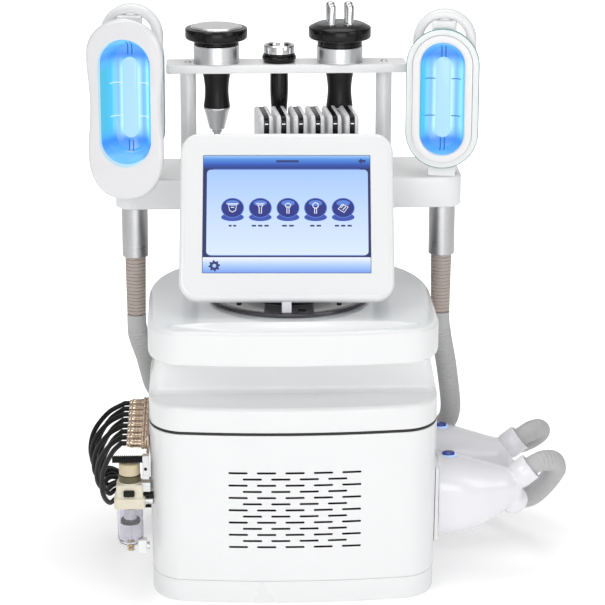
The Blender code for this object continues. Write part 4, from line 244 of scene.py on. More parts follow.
def place(x, y, z, turn=None):
    """A place in the frame: a shift, and a turn about one axis as (degrees, axis)."""
    spot = Matrix.Translation((x * MM, y * MM, z * MM))
    return spot @ Matrix.Rotation(math.radians(turn[0]), 4, turn[1]) if turn else spot


def bake(piece):
    """The piece's modifiers, applied."""
    bpy.context.view_layer.update()
    made = bpy.data.meshes.new_from_object(piece.evaluated_get(bpy.context.evaluated_depsgraph_get()))
    made.name = piece.data.name
    piece.modifiers.clear()
    piece.data = made
    return piece


def soften(piece, width):
    bevel = piece.modifiers.new("soft_edges", "BEVEL")
    bevel.width, bevel.segments = width * MM, 3
    bevel.limit_method, bevel.angle_limit = "ANGLE", math.radians(40)
    bevel.harden_normals = True
    return piece


def block(name, low, high, width, look, stands_for=None, body="machine", at=None):
    """A box with softened edges."""
    return soften(add(name, box(low, high), look, stands_for, body, at), width)


def lathe(name, profile, look, stands_for=None, body="machine", at=None, steps=96, closed=False):
    return add(name, turned(profile, steps, closed), look, stands_for, body, at)


def cut(piece, *meshes, operation="DIFFERENCE", at=None):
    """Cuts the meshes out of the piece, or joins them to it."""
    tools = []
    for mesh in meshes:
        tool = new_object("tool", mesh)
        tool.matrix_world = piece.matrix_world if at is None else at
        boolean = piece.modifiers.new("cut", "BOOLEAN")
        boolean.operation, boolean.solver, boolean.material_mode = operation, "EXACT", "TRANSFER"
        boolean.object = tool
        tools.append(tool)
    bake(piece)
    for tool in tools:
        bpy.data.objects.remove(tool)
    smooth(piece.data)
    return piece


def screw(name, spot, r, look, body="machine", height=1.6):
    """A small cap screw with a hexagonal socket."""
    def ring(radius, z, bore=False):
        points = []
        for i, (c, s) in enumerate(around(48)):
            turn = (math.tau * i / 48 + math.pi / 6) % (math.pi / 3) - math.pi / 6
            out = radius / math.cos(turn) if bore else radius
            points.append((out * c, out * s, z))
        return points

    add(name, loft([ring(r, 0), ring(r, height * 0.7), ring(r * 0.9, height), ring(r * 0.5, height, True),
                    ring(r * 0.45, height * 0.35, True), [(0, 0, height * 0.3)]]), look, None, body, spot)


def screws(name, spots, *details):
    for index, spot in enumerate(spots):
        screw(f"{name}_{index + 1}", spot, *details)


# Finishes
def feed(tree, node, inputs):
    """Sets a node's inputs, each to a value or to the output of another node."""
    for socket, value in inputs.items():
        if isinstance(value, bpy.types.NodeSocket):
            tree.links.new(value, node.inputs[socket])
        else:
            node.inputs[socket].default_value = value


def wire(tree, kind, inputs, out=0, **settings):
    """One output of a new node with these inputs and settings."""
    node = tree.nodes.new(f"ShaderNode{kind}")
    for key, value in settings.items():
        setattr(node, key, value)
    feed(tree, node, inputs)
    return node.outputs[out]


def ranged(tree, source, low, high, to_low=0.0, to_high=1.0, way="LINEAR"):
    return wire(tree, "MapRange", {"Value": source, "From Min": low, "From Max": high, "To Min": to_low,
                                   "To Max": to_high}, interpolation_type=way)


def along(tree, axis):
    """A point's own X, Y or Z, in metres."""
    return wire(tree, "SeparateXYZ", {0: wire(tree, "TexCoord", {}, "Object")}, axis)


def finish(name, colour, roughness, metallic=0.0, coat=0.0, vary=0.04, grain=400.0, bump=0.02, shade=0.03,
           transmission=0.0, glow=None, stretch=(1, 1, 1), gloss=0.5):
    """A procedural finish: noise in its colour, roughness and relief over the constants of its shader."""
    made = bpy.data.materials.new(name)
    made.use_nodes = True
    tree = made.node_tree
    scaled = wire(tree, "Mapping", {"Vector": wire(tree, "TexCoord", {}, "Object"), "Scale": stretch})

    def noise(scale, detail):
        return wire(tree, "TexNoise", {"Vector": scaled, "Scale": scale, "Detail": detail}, "Fac")

    feed(tree, tree.nodes["Principled BSDF"], {
        "Metallic": metallic, "Coat Weight": coat, "Coat Roughness": 0.06, "Transmission Weight": transmission,
        "Specular IOR Level": gloss,
        "Roughness": ranged(tree, noise(9.0, 4.0), 0.3, 0.7, max(0.02, roughness - vary), roughness + vary),
        "Base Color": wire(tree, "Mix", {
            0: ranged(tree, noise(14.0, 3.0), 0.3, 0.7), 6: (*[c * (1 - shade) for c in colour], 1),
            7: (*colour, 1)}, 2, data_type="RGBA"),
        "Normal": wire(tree, "Bump", {"Strength": bump, "Distance": 0.001, "Height": noise(grain, 2.0)})})
    if glow:
        light_up(made, (*glow[0], 1), glow[1])
    return made


def light_up(made, colour, strength):
    feed(made.node_tree, made.node_tree.nodes["Principled BSDF"],
         {"Emission Color": colour, "Emission Strength": strength})


MATERIALS = {
    "white": finish("gloss_white", (0.86, 0.865, 0.87), 0.22, coat=0.5, grain=260, bump=0.015, shade=0.015),
    "base": finish("painted_white", (0.85, 0.855, 0.86), 0.3, coat=0.25, grain=900, bump=0.04, shade=0.006),
    "seam": finish("seam_rubber", (0.012, 0.012, 0.012), 0.5, grain=1200, bump=0.1),
    "panel": finish("panel_grey", (0.5, 0.51, 0.53), 0.42, grain=1400, bump=0.15),
    "black": finish("gloss_black", (0.004, 0.004, 0.0045), 0.2, grain=500, gloss=0.3),
    "soft_black": finish("soft_black", (0.008, 0.008, 0.008), 0.45, grain=1500, bump=0.08, gloss=0.25),
    "dark": finish("dark_gloss", (0.05, 0.046, 0.056), 0.1, coat=0.8, grain=200, bump=0.01),
    "silver": finish("satin_silver", (0.74, 0.74, 0.75), 0.3, 1.0, grain=900, bump=0.03, stretch=(1, 1, 6)),
    "chrome": finish("bright_chrome", (0.78, 0.78, 0.79), 0.16, 1.0, vary=0.03, grain=300, bump=0.005),
    "tube": finish("brushed_tube", (0.6, 0.6, 0.61), 0.3, 1.0, grain=500, bump=0.08, stretch=(1, 1, 14)),
    "rose": finish("sleeve_rose", (0.48, 0.41, 0.37), 0.5, grain=1100, bump=0.08),
    "hose": finish("hose_grey", (0.51, 0.51, 0.51), 0.46, grain=1300, bump=0.06),
    "cable": finish("cable_black", (0.006, 0.006, 0.006), 0.38, grain=1500, bump=0.06, gloss=0.25),
    "lid_top": finish("lid_top_grey", (0.83, 0.85, 0.87), 0.16, coat=0.6, grain=260, bump=0.01, shade=0.02),
    "lavender": finish("handle_white", (0.84, 0.835, 0.87), 0.2, coat=0.6, grain=240, bump=0.012, shade=0.015),
    "grip": finish("grip_black", (0.004, 0.004, 0.0045), 0.3, grain=700, bump=0.03, gloss=0.28),
    "pad": finish("pad_white", (0.78, 0.78, 0.8), 0.28, coat=0.4, grain=300, bump=0.015),
    "pad_light": finish("pad_light", (0.9, 0.9, 0.9), 0.3, glow=((1, 1, 1), 0.4)),
    "warm_white": finish("warm_white", (0.87, 0.87, 0.87), 0.3, coat=0.4, grain=260, bump=0.015),
    "frost": finish("flange_frost", (0.9, 0.93, 0.93), 0.24, coat=0.3, grain=260, bump=0.01, transmission=0.08),
    "teal": finish("flange_edge", (0.12, 0.36, 0.36), 0.2, coat=0.4, grain=260, bump=0.01),
    "halo": finish("button_halo", (0.3, 0.45, 0.8), 0.2, glow=((0.45, 0.62, 0.98), 0.5)),
    "shroud": finish("shroud_pearl", (0.8, 0.8, 0.82), 0.16, coat=0.7, grain=220, bump=0.01),
    "tan": finish("knob_cream", (0.66, 0.56, 0.38), 0.4, grain=1000, bump=0.05),
    "olive": finish("filter_olive", (0.1, 0.085, 0.04), 0.4, grain=1000, bump=0.05),
    "bowl": finish("filter_bowl", (0.9, 0.89, 0.95), 0.05, vary=0.01, grain=200, bump=0.004, transmission=0.96),
    "champagne": finish("plug_champagne", (0.6, 0.48, 0.37), 0.26, 1.0, grain=800, bump=0.04),
    "cream": finish("filter_cream", (0.76, 0.71, 0.57), 0.34, grain=1000, bump=0.05),
    "brass": finish("drain_brass", (0.6, 0.42, 0.18), 0.28, 1.0, grain=700, bump=0.04),
    "navy": finish("button_navy", (0.02, 0.045, 0.28), 0.25, coat=0.4, grain=600),
    "tank": finish("tank_plastic", (0.8, 0.83, 0.8), 0.4, grain=500, bump=0.04),
    "machine": finish("machine_grey", (0.3, 0.31, 0.33), 0.45, 0.6, grain=900, bump=0.12),
    "board": finish("board_green", (0.02, 0.14, 0.05), 0.4, grain=300, bump=0.1, shade=0.3),
    "clear": finish("clear_plastic", (0.8, 0.93, 0.92), 0.06, vary=0.02, grain=200, bump=0.005, transmission=0.9),
    # The blue cup glows: painted light on blue plastic, which is no lamp
    "cup": finish("cup_blue", (0.25, 0.6, 1.0), 0.2, glow=((0.3, 0.65, 1.0), 1.0)),
    "display": finish("display_glass", (0.35, 0.55, 0.95), 0.12, glow=((0.35, 0.55, 0.95), 0.5)),
}
# A finish named like a slot of the record is that slot's own; the others take one of those slots
SLOTS = {key: made.name.split(".")[0] for key, made in MATERIALS.items()}
OWN_FINISH = {slot: MATERIALS[key] for key, slot in SLOTS.items()}
for slot, keys in (("gloss_white", "lid_top lavender pad pad_light warm_white shroud"),
                   ("cable_black", "seam soft_black"), ("clear_plastic", "frost teal bowl"),
                   ("filter_cream", "tan olive"), ("hose_grey", "rose"), ("plug_champagne", "brass"),
                   ("gloss_black", "grip"), ("display_glass", "halo")):
    SLOTS.update(dict.fromkeys(keys.split(), slot))
for row in frame["record"]["subparts"]:
    node = frame["nodes"][row["node"]]
    node.data.materials.clear()
    node.data.materials.append(OWN_FINISH[row["material_slot"]])

# Stage: a pale floor, whose light for the camera grows with the distance, and a plain white room
WHITE_LIGHT = (1, 1, 1, 1)
bm = bmesh.new()
bmesh.ops.create_grid(bm, x_segments=1, y_segments=1, size=6000)
floor = new_object("floor", finish_mesh(bm))
floor.data.materials.append(bpy.data.materials.new("floor"))
floor.data.materials[0].use_nodes = True
tree = floor.data.materials[0].node_tree
away = wire(tree, "VectorMath", {0: wire(tree, "TexCoord", {}, "Object")}, "Value", operation="LENGTH")
feed(tree, tree.nodes["Principled BSDF"], {
    "Base Color": (0.93, 0.93, 0.93, 1), "Roughness": 0.6, "Emission Color": WHITE_LIGHT,
    "Emission Strength": ranged(tree, wire(tree, "LightPath", {}, "Is Camera Ray"), 0, 1, 0.2,
                                ranged(tree, away, 0.3, 1.5, 0.3, 1.0))})
world = bpy.data.worlds.new("studio")
bpy.context.scene.world = world
world.use_nodes = True
tree = world.node_tree


def ray(kind):
    return wire(tree, "LightPath", {}, kind)


def reckon(operation, first, second):
    return wire(tree, "Math", {0: first, 1: second}, operation=operation)


def squared(axis):
    part = wire(tree, "SeparateXYZ", {0: wire(tree, "TexCoord", {}, "Generated")}, axis)
    return reckon("MULTIPLY", part, part)


# Reflections see a darker room with a bright front and ceiling, so that gloss and metal have contrast
ROOM, MIRRORED, AHEAD, ABOVE = 0.48, 0.12, 0.62, 0.4
mirrored = reckon("ADD", reckon("MULTIPLY", squared(1), AHEAD), reckon("MULTIPLY", squared(2), ABOVE))
mirrored = reckon("SUBTRACT", reckon("ADD", mirrored, MIRRORED), ROOM)
plain = tree.nodes["Background"]
feed(tree, plain, {"Color": WHITE_LIGHT,
                   "Strength": reckon("ADD", reckon("MULTIPLY", mirrored, ray("Is Glossy Ray")), ROOM)})
feed(tree, tree.nodes["World Output"], {"Surface": wire(tree, "MixShader", {
    0: reckon("MAXIMUM", ray("Is Camera Ray"), ray("Is Transmission Ray")), 1: plain.outputs[0],
    2: wire(tree, "Background", {"Color": WHITE_LIGHT, "Strength": 1.0})})})
for name, spot, size, power in (("key", (-1.6, -2.2, 2.2), (1.4, 1.4), 21), ("fill", (2.0, -1.8, 1.4), (1.2, 1.6), 11),
                                ("top", (0, 0.3, 2.4), (1.6, 1.2), 14), ("low", (0.1, -2.6, 0.5), (1.8, 0.8), 10)):
    light = bpy.data.lights.new(name, "AREA")
    light.shape = "RECTANGLE"
    light.size, light.size_y = size
    light.energy = power
    holder = new_object(name, light)
    holder.location = spot
    holder.rotation_euler = (Vector((0, 0, 0.3)) - Vector(spot)).to_track_quat("-Z", "Y").to_euler()

# Hoses: grey corrugated tubes on the CAD's own routes, their corners eased over a run of points
HOSE_R = 12.4
HOSE_PLAIN = 2 * HOSE_R
RIB_PITCH, RIB = 4.4, 1.1
SHELF_EASE, SIDE_EASE = 56, 22
STEM_Y, SLEEVE_END_Z = 66, 313.7
GLAND_Y = 178.9 + 0.2
SIDE_X = 184.6
CABINET_HALF = 181


def beside(points, way=1):
    """Points given by their distance out from the cabinet's side."""
    return [(way * (CABINET_HALF + out), y, z) for out, y, z in points]


def hose(name, route, body, node, ease):
    path, _ = spline(route, RIB_PITCH / 6)
    weights = np.hanning(2 * ease + 1)
    longer = np.concatenate([2 * path[0] - path[ease:0:-1], path, 2 * path[-1] - path[-2:-ease - 2:-1]])
    path = np.stack([np.convolve(longer[:, k], weights / weights.sum(), "valid") for k in range(3)], axis=1)
    length = np.linalg.norm(np.diff(path, axis=0), axis=1).sum()
    run = np.linspace(0, length, len(path))
    wave = 0.5 - 0.5 * np.cos(math.tau * run / RIB_PITCH)
    inside = np.clip(np.minimum(run, length - run) / HOSE_R - 1, 0, 1)
    piece = add(name, sweep(path, HOSE_R + RIB * inside * (1 - (1 - wave) ** 2)), "hose", node, body)


# The shelf handles' hoses, between the cabinet and the handle
STEM_OUT = 18
for name, way, knee, gland_out, route in (
        ("right", 1, 0.205, -113, [
            (24, 77, 262), (30, 90, 232), (35, 105, 200), (40, 121, 168), (40, 140, 139), (29, 162, 119), (7, 184, 114),
            (-26, 202, 121), (-57, 216, 136), (-82, 224, 153), (-101, 221, 168)]),
        ("left", -1, 0.19, -113, [
            (8, 90, 252), (2, 120, 214), (-5, 155, 180), (-26, 190, 158), (-55, 213, 153), (-82, 223, 159),
            (-101, 220, 170)])):
    hose(f"{name}_hose", beside([
        (STEM_OUT, STEM_Y, SLEEVE_END_Z), (STEM_OUT, STEM_Y, SLEEVE_END_Z - HOSE_PLAIN), *route,
        (gland_out, GLAND_Y + HOSE_PLAIN, 178), (gland_out, GLAND_Y, 178)], way),
        ("machine", f"{name}_cryo_handle", (way * knee, 0.14, 0.16), (way * 0.199, 0.066, 0.3)), f"{name}_cryo_hose",
        SHELF_EASE)
COLLAR_RISE = math.radians(38)
COLLAR_WAY = np.array([math.cos(COLLAR_RISE), 0, math.sin(COLLAR_RISE)])
COLLAR_FOOT = np.array([SIDE_X + 88, 0, 114])
for name, y, gland_x, gland_z, route in (
        ("front", -58, 30, 48, [
            (138.9, -54.8, 146.4), (150.6, -47.4, 145), (159.4, -34.8, 138.8), (164.4, -21.7, 124.1), (163.5, -10, 115),
            (160, 4, 100.5), (153, 18.5, 84), (144, 33.5, 67.5), (133.5, 50, 56), (122, 68, 50), (109, 90, 45),
            (96, 114, 40.5), (79, 140, 36), (56, 165, 31), (27, 187, 28), (-9, 205, 28), (-46, 218, 30), (-81, 225, 32),
            (-115, 228, 37), (-139, 221, 44)]),
        ("rear", 54, 68, 76, [
            (138.4, 57.5, 147), (149.1, 66.1, 147.9), (156.1, 77.5, 143.3), (157.4, 89.1, 135.4), (154, 103, 125.5),
            (146.5, 116, 115), (136, 130, 105), (122, 143, 97), (104, 156, 90), (81, 168, 85), (56, 180, 82),
            (29, 195, 82), (-6, 213, 84), (-43, 226, 84), (-73, 229, 80), (-97, 221, 77)])):
    first = COLLAR_FOOT + COLLAR_WAY * 36.9 + np.array([0, y, 0])
    hose(f"{name}_side_hose", [first, first + COLLAR_WAY * 8.5] + beside(route)
         + [(gland_x, GLAND_Y + HOSE_PLAIN, gland_z), (gland_x, GLAND_Y, gland_z)],
         f"{name}_side_handle", f"side_hose_{name}", SIDE_EASE)

# Cables from the plugs at the left side to their clamp, and the bundle behind
CABLE_R, BUNDLE_R = 3.2, 10
CLAMP = np.array([-192, 104, 46.0])
PLUG_TIP_X, PLUG_Z = -209.8, 192
PLUGS_Y = [-96 + 22.5 * i for i in range(8)]


def cable(name, path, radius, stands_for=None):
    curve = bpy.data.curves.new(name, "CURVE")
    curve.dimensions, curve.bevel_depth, curve.bevel_resolution = "3D", radius * MM, 6
    curve.use_fill_caps = True
    line = curve.splines.new("POLY")
    line.points.add(len(path) - 1)
    for point, p in zip(line.points, path):
        point.co = (*[c * MM for c in p], 1.0)
    line.use_smooth = True
    piece = add(name, curve, "cable", stands_for)


# Shares of a cable's reach out, of its way to the clamp and of its way down
CABLE_SHAPE = ((0.55, 0.06, 0.14), (0.92, 0.18, 0.42), (1.0, 0.32, 0.74), (0.78, 0.48, 0.96), (0.42, 0.66, 1.0))
CABLE_REACHES = (34, 41, 36, 46, 40, 50, 45, 53)
CABLE_LOWS = (72, 86, 76, 90, 80, 94, 85, 90)
for index, (y, reach, low) in enumerate(zip(PLUGS_Y, CABLE_REACHES, CABLE_LOWS)):
    end = CLAMP + np.array([(index % 4 - 1.5) * 7.6, -4.5, (index // 4 - 0.5) * 7.6])
    start = (PLUG_TIP_X - 0.3, y, float(PLUG_Z))
    path, length = spline([(start[0] - 2 * CABLE_R, y, PLUG_Z)] + [
        (start[0] - reach * out, y + (end[1] - y) * share, PLUG_Z + (low - PLUG_Z) * down)
        for out, share, down in CABLE_SHAPE] + [tuple(end)], 4)
    cable(f"cable_{index + 1}", [start, *path], CABLE_R)
path, length = spline([
    (-192, 108.5, 46), (-190, 135, 46), (-168, 172, 44), (-120, 192, 40), (-60, 197, 42), (-18, 196, 75),
    (-12, 196, 150), (-12, 190, 260), (-12, 187, 355), (-12, 166, 400), (-12, 142, 438), (-12, 142, 458.7)], 5)
cable("cable_bundle", path, BUNDLE_R, "cable_loom")
block("cable_clamp", (-17, -9, -15), (17, 9, 15), 2, "soft_black", at=place(*CLAMP))

# Cabinet: base pan, shell with its vents, black seam, housing and lid
CORNER_STEPS, BOW_STEPS = 20, 28
FRONT_Y, BACK_Y = -165, 165
SHELL_TOP, SHELL_LEAN = 223.5, 2.5


def plan(inset=0.0, front_y=None, corner=None):
    """The cabinet's outline from above; the bowed front runs smoothly into its corners."""
    half = CABINET_HALF - inset
    front_at = FRONT_Y + inset if front_y is None else front_y
    fx, fy = (47 - inset, 58 - inset) if corner is None else (corner, corner)
    rx, ry = 78 - inset, 140 - inset
    run, bow, start = half - fx, 0.0, -90.0
    if front_y is None:
        lean = math.atan(18 / run * fx / fy)
        start = -90 + math.degrees(lean)
        run, bow = run + fx * math.sin(lean), 9 * (1 + fx * math.sin(lean) / run) ** 2
    front_mid, back_mid = front_at + bow - fy * math.sin(math.radians(start)), BACK_Y - inset - ry
    points = [(-run + 2 * run * i / BOW_STEPS, front_at + bow * (2 * i / BOW_STEPS - 1) ** 2) for i in range(BOW_STEPS)]
    points += arc(half - fx, front_mid, fx, fy, start, 0, CORNER_STEPS)
    points += arc(half - rx, back_mid, rx, ry, 0, 90, CORNER_STEPS)
    points += arc(rx - half, back_mid, rx, ry, 90, 180, CORNER_STEPS)
    return points + arc(fx - half, front_mid, fx, fy, 180, 180 - start, CORNER_STEPS)[:-1]


def taper(z):
    return SHELL_LEAN * (1 - z / SHELL_TOP)


def leaning(levels):
    """Rings of the leaning walls, each at a height and drawn in by a little more."""
    return [at_z(plan(taper(z) + extra), z) for z, extra in levels]


add("base_plinth", loft(leaning((
    (0, 2.2), (0.4, 1.2), (1.2, 0.4), (2.4, 0), (10, 0), (20, 0), (28.6, 0), (29.3, 0.2), (29.7, 0.9)))), "base",
    "base_pan")
levels = [(30.0, 0.9), (30.4, 0.2), (31.1, 0), *[(34 + 7.2 * i, 0) for i in range(27)], (222.3, 0), (223.1, 0.3),
          (SHELL_TOP, 1.1)]
shell = add("shell", loft(leaning(levels) + [at_z(plan(6.5), z) for z in (SHELL_TOP, 30.0)], closed=True), "white",
            "cabinet_shell")
slots = bmesh.new()
for row in range(13):
    count = 5 - row % 2
    for slot in range(count):
        x0, z0 = (slot - (count - 1) / 2) * 35.3, 174.5 - row * 8.2
        outline = [(x0 + z, z0 + x) for x, z in stadium(2.6, 24, steps=6)]
        rows = [[slots.verts.new(p) for p in at_y(outline, y)] for y in (-172, -146)]
        slots.faces.new(rows[0])
        slots.faces.new(rows[1])
        for i in range(len(outline)):
            j = (i + 1) % len(outline)
            slots.faces.new((rows[0][i], rows[0][j], rows[1][j], rows[1][i]))
slots = finish_mesh(slots)
# The slot walls take the soft black: painted shade in the vents
slots.materials.append(MATERIALS["soft_black"])
cut(shell, slots, box((-84, 95, 40), (84, 168, 200)))
vent_shade_points = [(x, -157.4 + 9 * (x / 134) ** 2) for x in np.linspace(-92, 92, 24)]
# A black sheet behind the vent slots: painted shade of the cabinet's inside
add("vent_filter", prism(vent_shade_points + [(x, y + 1.4) for x, y in reversed(vent_shade_points)], 66, 184), "soft_black")
add("black_seam", loft([at_z(plan(inset), z) for inset, z in (
    (0.7, 223.6), (0.15, 224.0), (0, 225.2), (0.15, 226.5), (0.7, 226.9))]), "seam")


def eased(outline, ease):
    """The outline with its front edge eased back by more than its sides."""
    return [(x, y + ease * min(1, max(0, (-70 - y) / 60))) for x, y in outline]


band = [at_z(plan(inset), z) for inset, z in ((1.1, 226.8), (0.3, 227.3), (0, 228.2), (0, 236), (0, 245))]
band += [at_z(eased(plan(1.2 * share), 4.5 * share), 252 + rise) for share, rise in fillet(1, 6.7, 9)]
add("housing_band", loft(band), "white", "upper_housing")
recess = [(258.0, 1.2, -106.5), (258.9, 1.3, -104.4), (260.2, 1.5, -102.4), (262.2, 1.8, -101), (265, 2.2, -100.2)]
recess += [(269 + 42 * i / 5, 2.8 + 7.7 * i / 5, -100) for i in range(6)]
add("housing_block", loft([at_z(plan(inset, y, 12), z) for z, inset, y in recess]), "white")

LID_TOP = 355.0
lid_levels = [(draw, 319.3 - rise) for draw, rise in reversed(fillet(5, 8, 9))] + [(0, 326), (0, 338)]
lid_levels += [(draw, LID_TOP - 6 + rise) for draw, rise in fillet(6, 6, 9)] + [(9.5, LID_TOP)]
lid = add("lid", loft([at_z(plan(inset), z) for inset, z in lid_levels]), "white", "top_lid")
lid.data.materials.append(MATERIALS["lid_top"])
for face in lid.data.polygons:
    if len(face.vertices) > 4 and face.center.z > 0.35:
        face.material_index = 1
lip = []
for x in np.linspace(-157, 157, 61):
    near = abs(x) / 157
    back, ahead = -146 + 19 * near**3, -158.5 + 31.5 * near**2.4
    high = max(0.15, 10 * (1 - near**3.2) ** 0.75)
    edge = [(back, 0.92), (back - 0.5, 1)]
    edge += [(back + (ahead - back) * t, (1 - t) ** 0.8) for t in (0.2, 0.4, 0.6, 0.8, 0.94)]
    lip.append([(x, back, LID_TOP - 0.4), *[(x, y, LID_TOP + high * share) for y, share in edge],
                (x, ahead, LID_TOP - 0.4)])
add("lid_lip", loft(lip), "white")

# Rear panel: plate, fan, inlet, switch and glands
PANEL_Y = 165.3
FAN_X, FAN_Z = 38, 128
BLADES, BLADE_ROOT, BLADE_TIP = 7, 12.5, 34.4
rear = place(0, PANEL_Y, 0, (-90, "X"))
panel = bake(soften(add("rear_plate", front(rounded(92, 88, 6, centre=(0, 120)), PANEL_Y, PANEL_Y + 3), "panel",
                        "rear_panel"), 0.5))
grille = []
for slot in range(7):
    rise = (slot - 3) * 9
    length = 2 * math.sqrt(36.5**2 - rise**2) - 6
    grille.append(front([(FAN_X + z, FAN_Z + rise + x) for x, z in stadium(4, length, steps=8)], 160, 172))
cut(panel, *grille, box((-66.3, 160, 81.7), (-37.7, 172, 102.3)), box((-60.5, 160, 120.5), (-43.5, 172, 143.5)))
screws("panel_screw", [rear @ place(x, -z, 3) for x, z in (
    (-86, 38), (86, 38), (-86, 202), (86, 202), (0, 38), (0, 202))], 3, "silver", "machine", 1.4)
screws("fan_screw", [rear @ place(x, -z, 3) for z in (96, 160) for x in (6, 70)], 2.6, "silver", "machine", 1.2)
lathe("fan_frame", [(36.5, -24), (39.2, -24), (39.2, -0.3), (36.5, -0.3)], "soft_black",
      at=rear @ place(FAN_X, -FAN_Z, 0), steps=72, closed=True)
for index, (x, z) in enumerate(((-68, 178), (68, 178), (68, 76), (30, 48))):
    lathe(f"hose_gland_{index + 1}", [
        (0, 2.6), (16.4, 2.6), (16.4, 5.8), (15.6, 6.4), (15, 6.6), (15, 8.2), (14.2, 8.6), (14.2, 9.4), (15, 9.8),
        (15, 12.9), (14.4, 13.5), (0, 13.5)], "soft_black", at=rear @ place(x, -z, 0), steps=72)
fan_at = rear @ place(FAN_X, -FAN_Z, -18)
lathe("rotor", [(3.3, 0), (12.6, 0), (14, 1.4), (14, 16), (3.3, 16)], "black", "fan_rotor", "fan", fan_at, 48, True)
blades = bmesh.new()
radii = np.linspace(BLADE_ROOT, BLADE_TIP, 9)
for blade in range(BLADES):
    for ends in zip(radii[:-1], radii[1:]):
        corners = []
        for r in ends:
            pitch = math.radians(50 - 24 * (r - BLADE_ROOT) / 22)
            for way in (-7.2, 7.2):
                for thick in (-0.7, 0.7):
                    turn = math.tau * blade / BLADES + (way * math.cos(pitch) + thick * math.sin(pitch)) / r * 0.8
                    high = 8 + way * math.sin(pitch) * 0.93 - thick * math.cos(pitch)
                    corners.append(blades.verts.new((r * math.cos(turn), r * math.sin(turn), high)))
        for quad in ("0132", "4675", "0451", "2376", "0264", "1573"):
            blades.faces.new([corners[int(corner)] for corner in quad])
bmesh.ops.remove_doubles(blades, verts=blades.verts, dist=0.001)
add("rotor_blades", finish_mesh(blades), "black", body="fan", at=fan_at)
inlet = add("inlet", box((-66, 147.3, 82), (-38, 168.3, 102)), "black", "power_inlet")
soften(cut(inlet, box((-63, 150.3, 85), (-41, 172, 99))), 0.6)
for index, (x, z) in enumerate(((-57, 89.5), (-47, 89.5), (-52, 95))):
    add(f"inlet_pin_{index + 1}", box((x - 1, 150.3, z - 2), (x + 1, 162, z + 2)), "brass")
rocker = [(-8.6, -6), (2.3, -10.2), (4.5, -10.2), (4.0, -6), (3.7, 0), (4.0, 6), (4.5, 10.2), (2.3, 10.2), (-8.6, 6)]
soften(add("switch_rocker", side(rocker, -7.2, 7.2), "black", "power_switch", "mains_switch",
           place(-52, PANEL_Y, 132, (4.5, "X"))), 0.5)

# Screen on its turntable
SWIVEL = place(-1.5, 5, 355.3, (-2, "Z"))
LEAN_ANGLE, LEAN_Y, LEAN_Z = 33, -105, 24.0
LEAN = SWIVEL @ place(-3, LEAN_Y, LEAN_Z, (-LEAN_ANGLE, "X"))
UP = (math.sin(math.radians(LEAN_ANGLE)), math.cos(math.radians(LEAN_ANGLE)))
lathe("turntable", [
    (0, 0), (104, 0), (105, 0.8), (105, 3.4), (104.6, 4.4), (103.6, 5), (100.5, 5), (100, 4.5), (99.2, 4.5), (98.7, 5),
    (62, 5), (61, 5.4), (60, 6.4), (60, 8.2), (59.2, 9), (0, 9)], "dark", "screen_turntable", "screen", SWIVEL, 144)
screws("table_screw", [SWIVEL @ place(x, y, 5) for y in (-58, 58) for x in (-63, 63)], 3.2, "soft_black", "screen")
block("table_latch", (11, -88, 5), (21, -85.6, 6.6), 0.4, "soft_black", None, "screen", SWIVEL)


def screen_ring(half_x, z0, z1, corner, y):
    return at_y(rounded(half_x, (z1 - z0) / 2, corner, 16, (0, (z0 + z1) / 2)), y)


def plane_point(up, behind):
    """A point of the leaning screen, in the turntable's Y and Z."""
    return (LEAN_Y + up * UP[0] + behind * UP[1], LEAN_Z + up * UP[1] - behind * UP[0])


bezel = [screen_ring(134.3 - inset, inset, 221 - inset, 25 - inset, y) for inset, y in (
    (2.5, 14), (0.9, 13.3), (0.1, 12), (0, 10.5), (0, 5.4), (0.3, 3.6), (1.1, 2.0), (2.4, 0.8), (4.2, 0.1), (5.4, 0),
    (6.0, 0.35), (6.6, 0))]
bezel += [screen_ring(105.3 + grow, 34.8 - grow, 190.8 + grow, 1.2 + grow, y) for grow, y in (
    (1.0, 0), (0.5, 0.15), (0, 0.8), (0, 14))]
add("bezel", loft(bezel, closed=True, angle=25), "white", "screen_bezel", "screen", LEAN)
cover = [(0, 14.3), (0, 16)] + [(share, 19.3 + rise) for share, rise in fillet(1, 15, 12)]
rear_cover = add("screen_back", loft([
    screen_ring(122.3 - 16 * share, 12 + 8 * share, 209 - 32 * share, 22 - 8 * share, y) for share, y in cover]),
    "white", "screen_rear_cover", "screen", LEAN)
back_slots = [front([(x0 + x, 150 + z) for x, z in stadium(3, 26, steps=8)], 32.8, 40)
              for x0 in np.linspace(-63, 63, 15)]
# The slot walls take the soft black: painted shade in the slots
for mesh in back_slots:
    mesh.materials.append(MATERIALS["soft_black"])
cut(rear_cover, *back_slots)
screws("cover_screw", [LEAN @ place(x, 34.0, z, (-90, "X")) for z in (34, 160) for x in (-92, 92)], 3, "silver",
       "screen", 1.2)
soften(add("bracket", side([(-42, 9.3), (24, 9.3), plane_point(92, 34.6), plane_point(36, 34.6)], -32, 32), "white",
           "screen_bracket", "screen", SWIVEL), 2.2)
fall, stay_top = -UP[0] / UP[1], plane_point(0, 0)[1] - 0.3 / UP[1]
soften(add("stay", side([(-99, 5.3), (-90, 5.3), (-90, 9.3), (-39, 9.3), (-39, 13.3), (-90, 13.3),
                         (-90, stay_top + 15 * fall), (-99, stay_top + 6 * fall)], -9, 3), "lavender", None, "screen",
           SWIVEL), 0.8)

# Display: thin sheets of lit glass, each just proud of the one behind, placed by their pixels in the photograph
DISPLAY_MM = (1.2476, 1.3232)
DISPLAY_MID, DISPLAY_FOOT, DISPLAY_FOOT_Z = 286.2, 272.3, 34.8
DISPLAY_LIGHT = 0.97
SHEET_STEP = 0.07


def display_x(u):
    return (u - DISPLAY_MID) * DISPLAY_MM[0]


def display_z(v):
    return DISPLAY_FOOT_Z + (DISPLAY_FOOT - v) * DISPLAY_MM[1]


def srgb(*colour):
    return tuple(c / 12.92 if c <= 0.04045 else ((c + 0.055) / 1.055) ** 2.4 for c in colour)


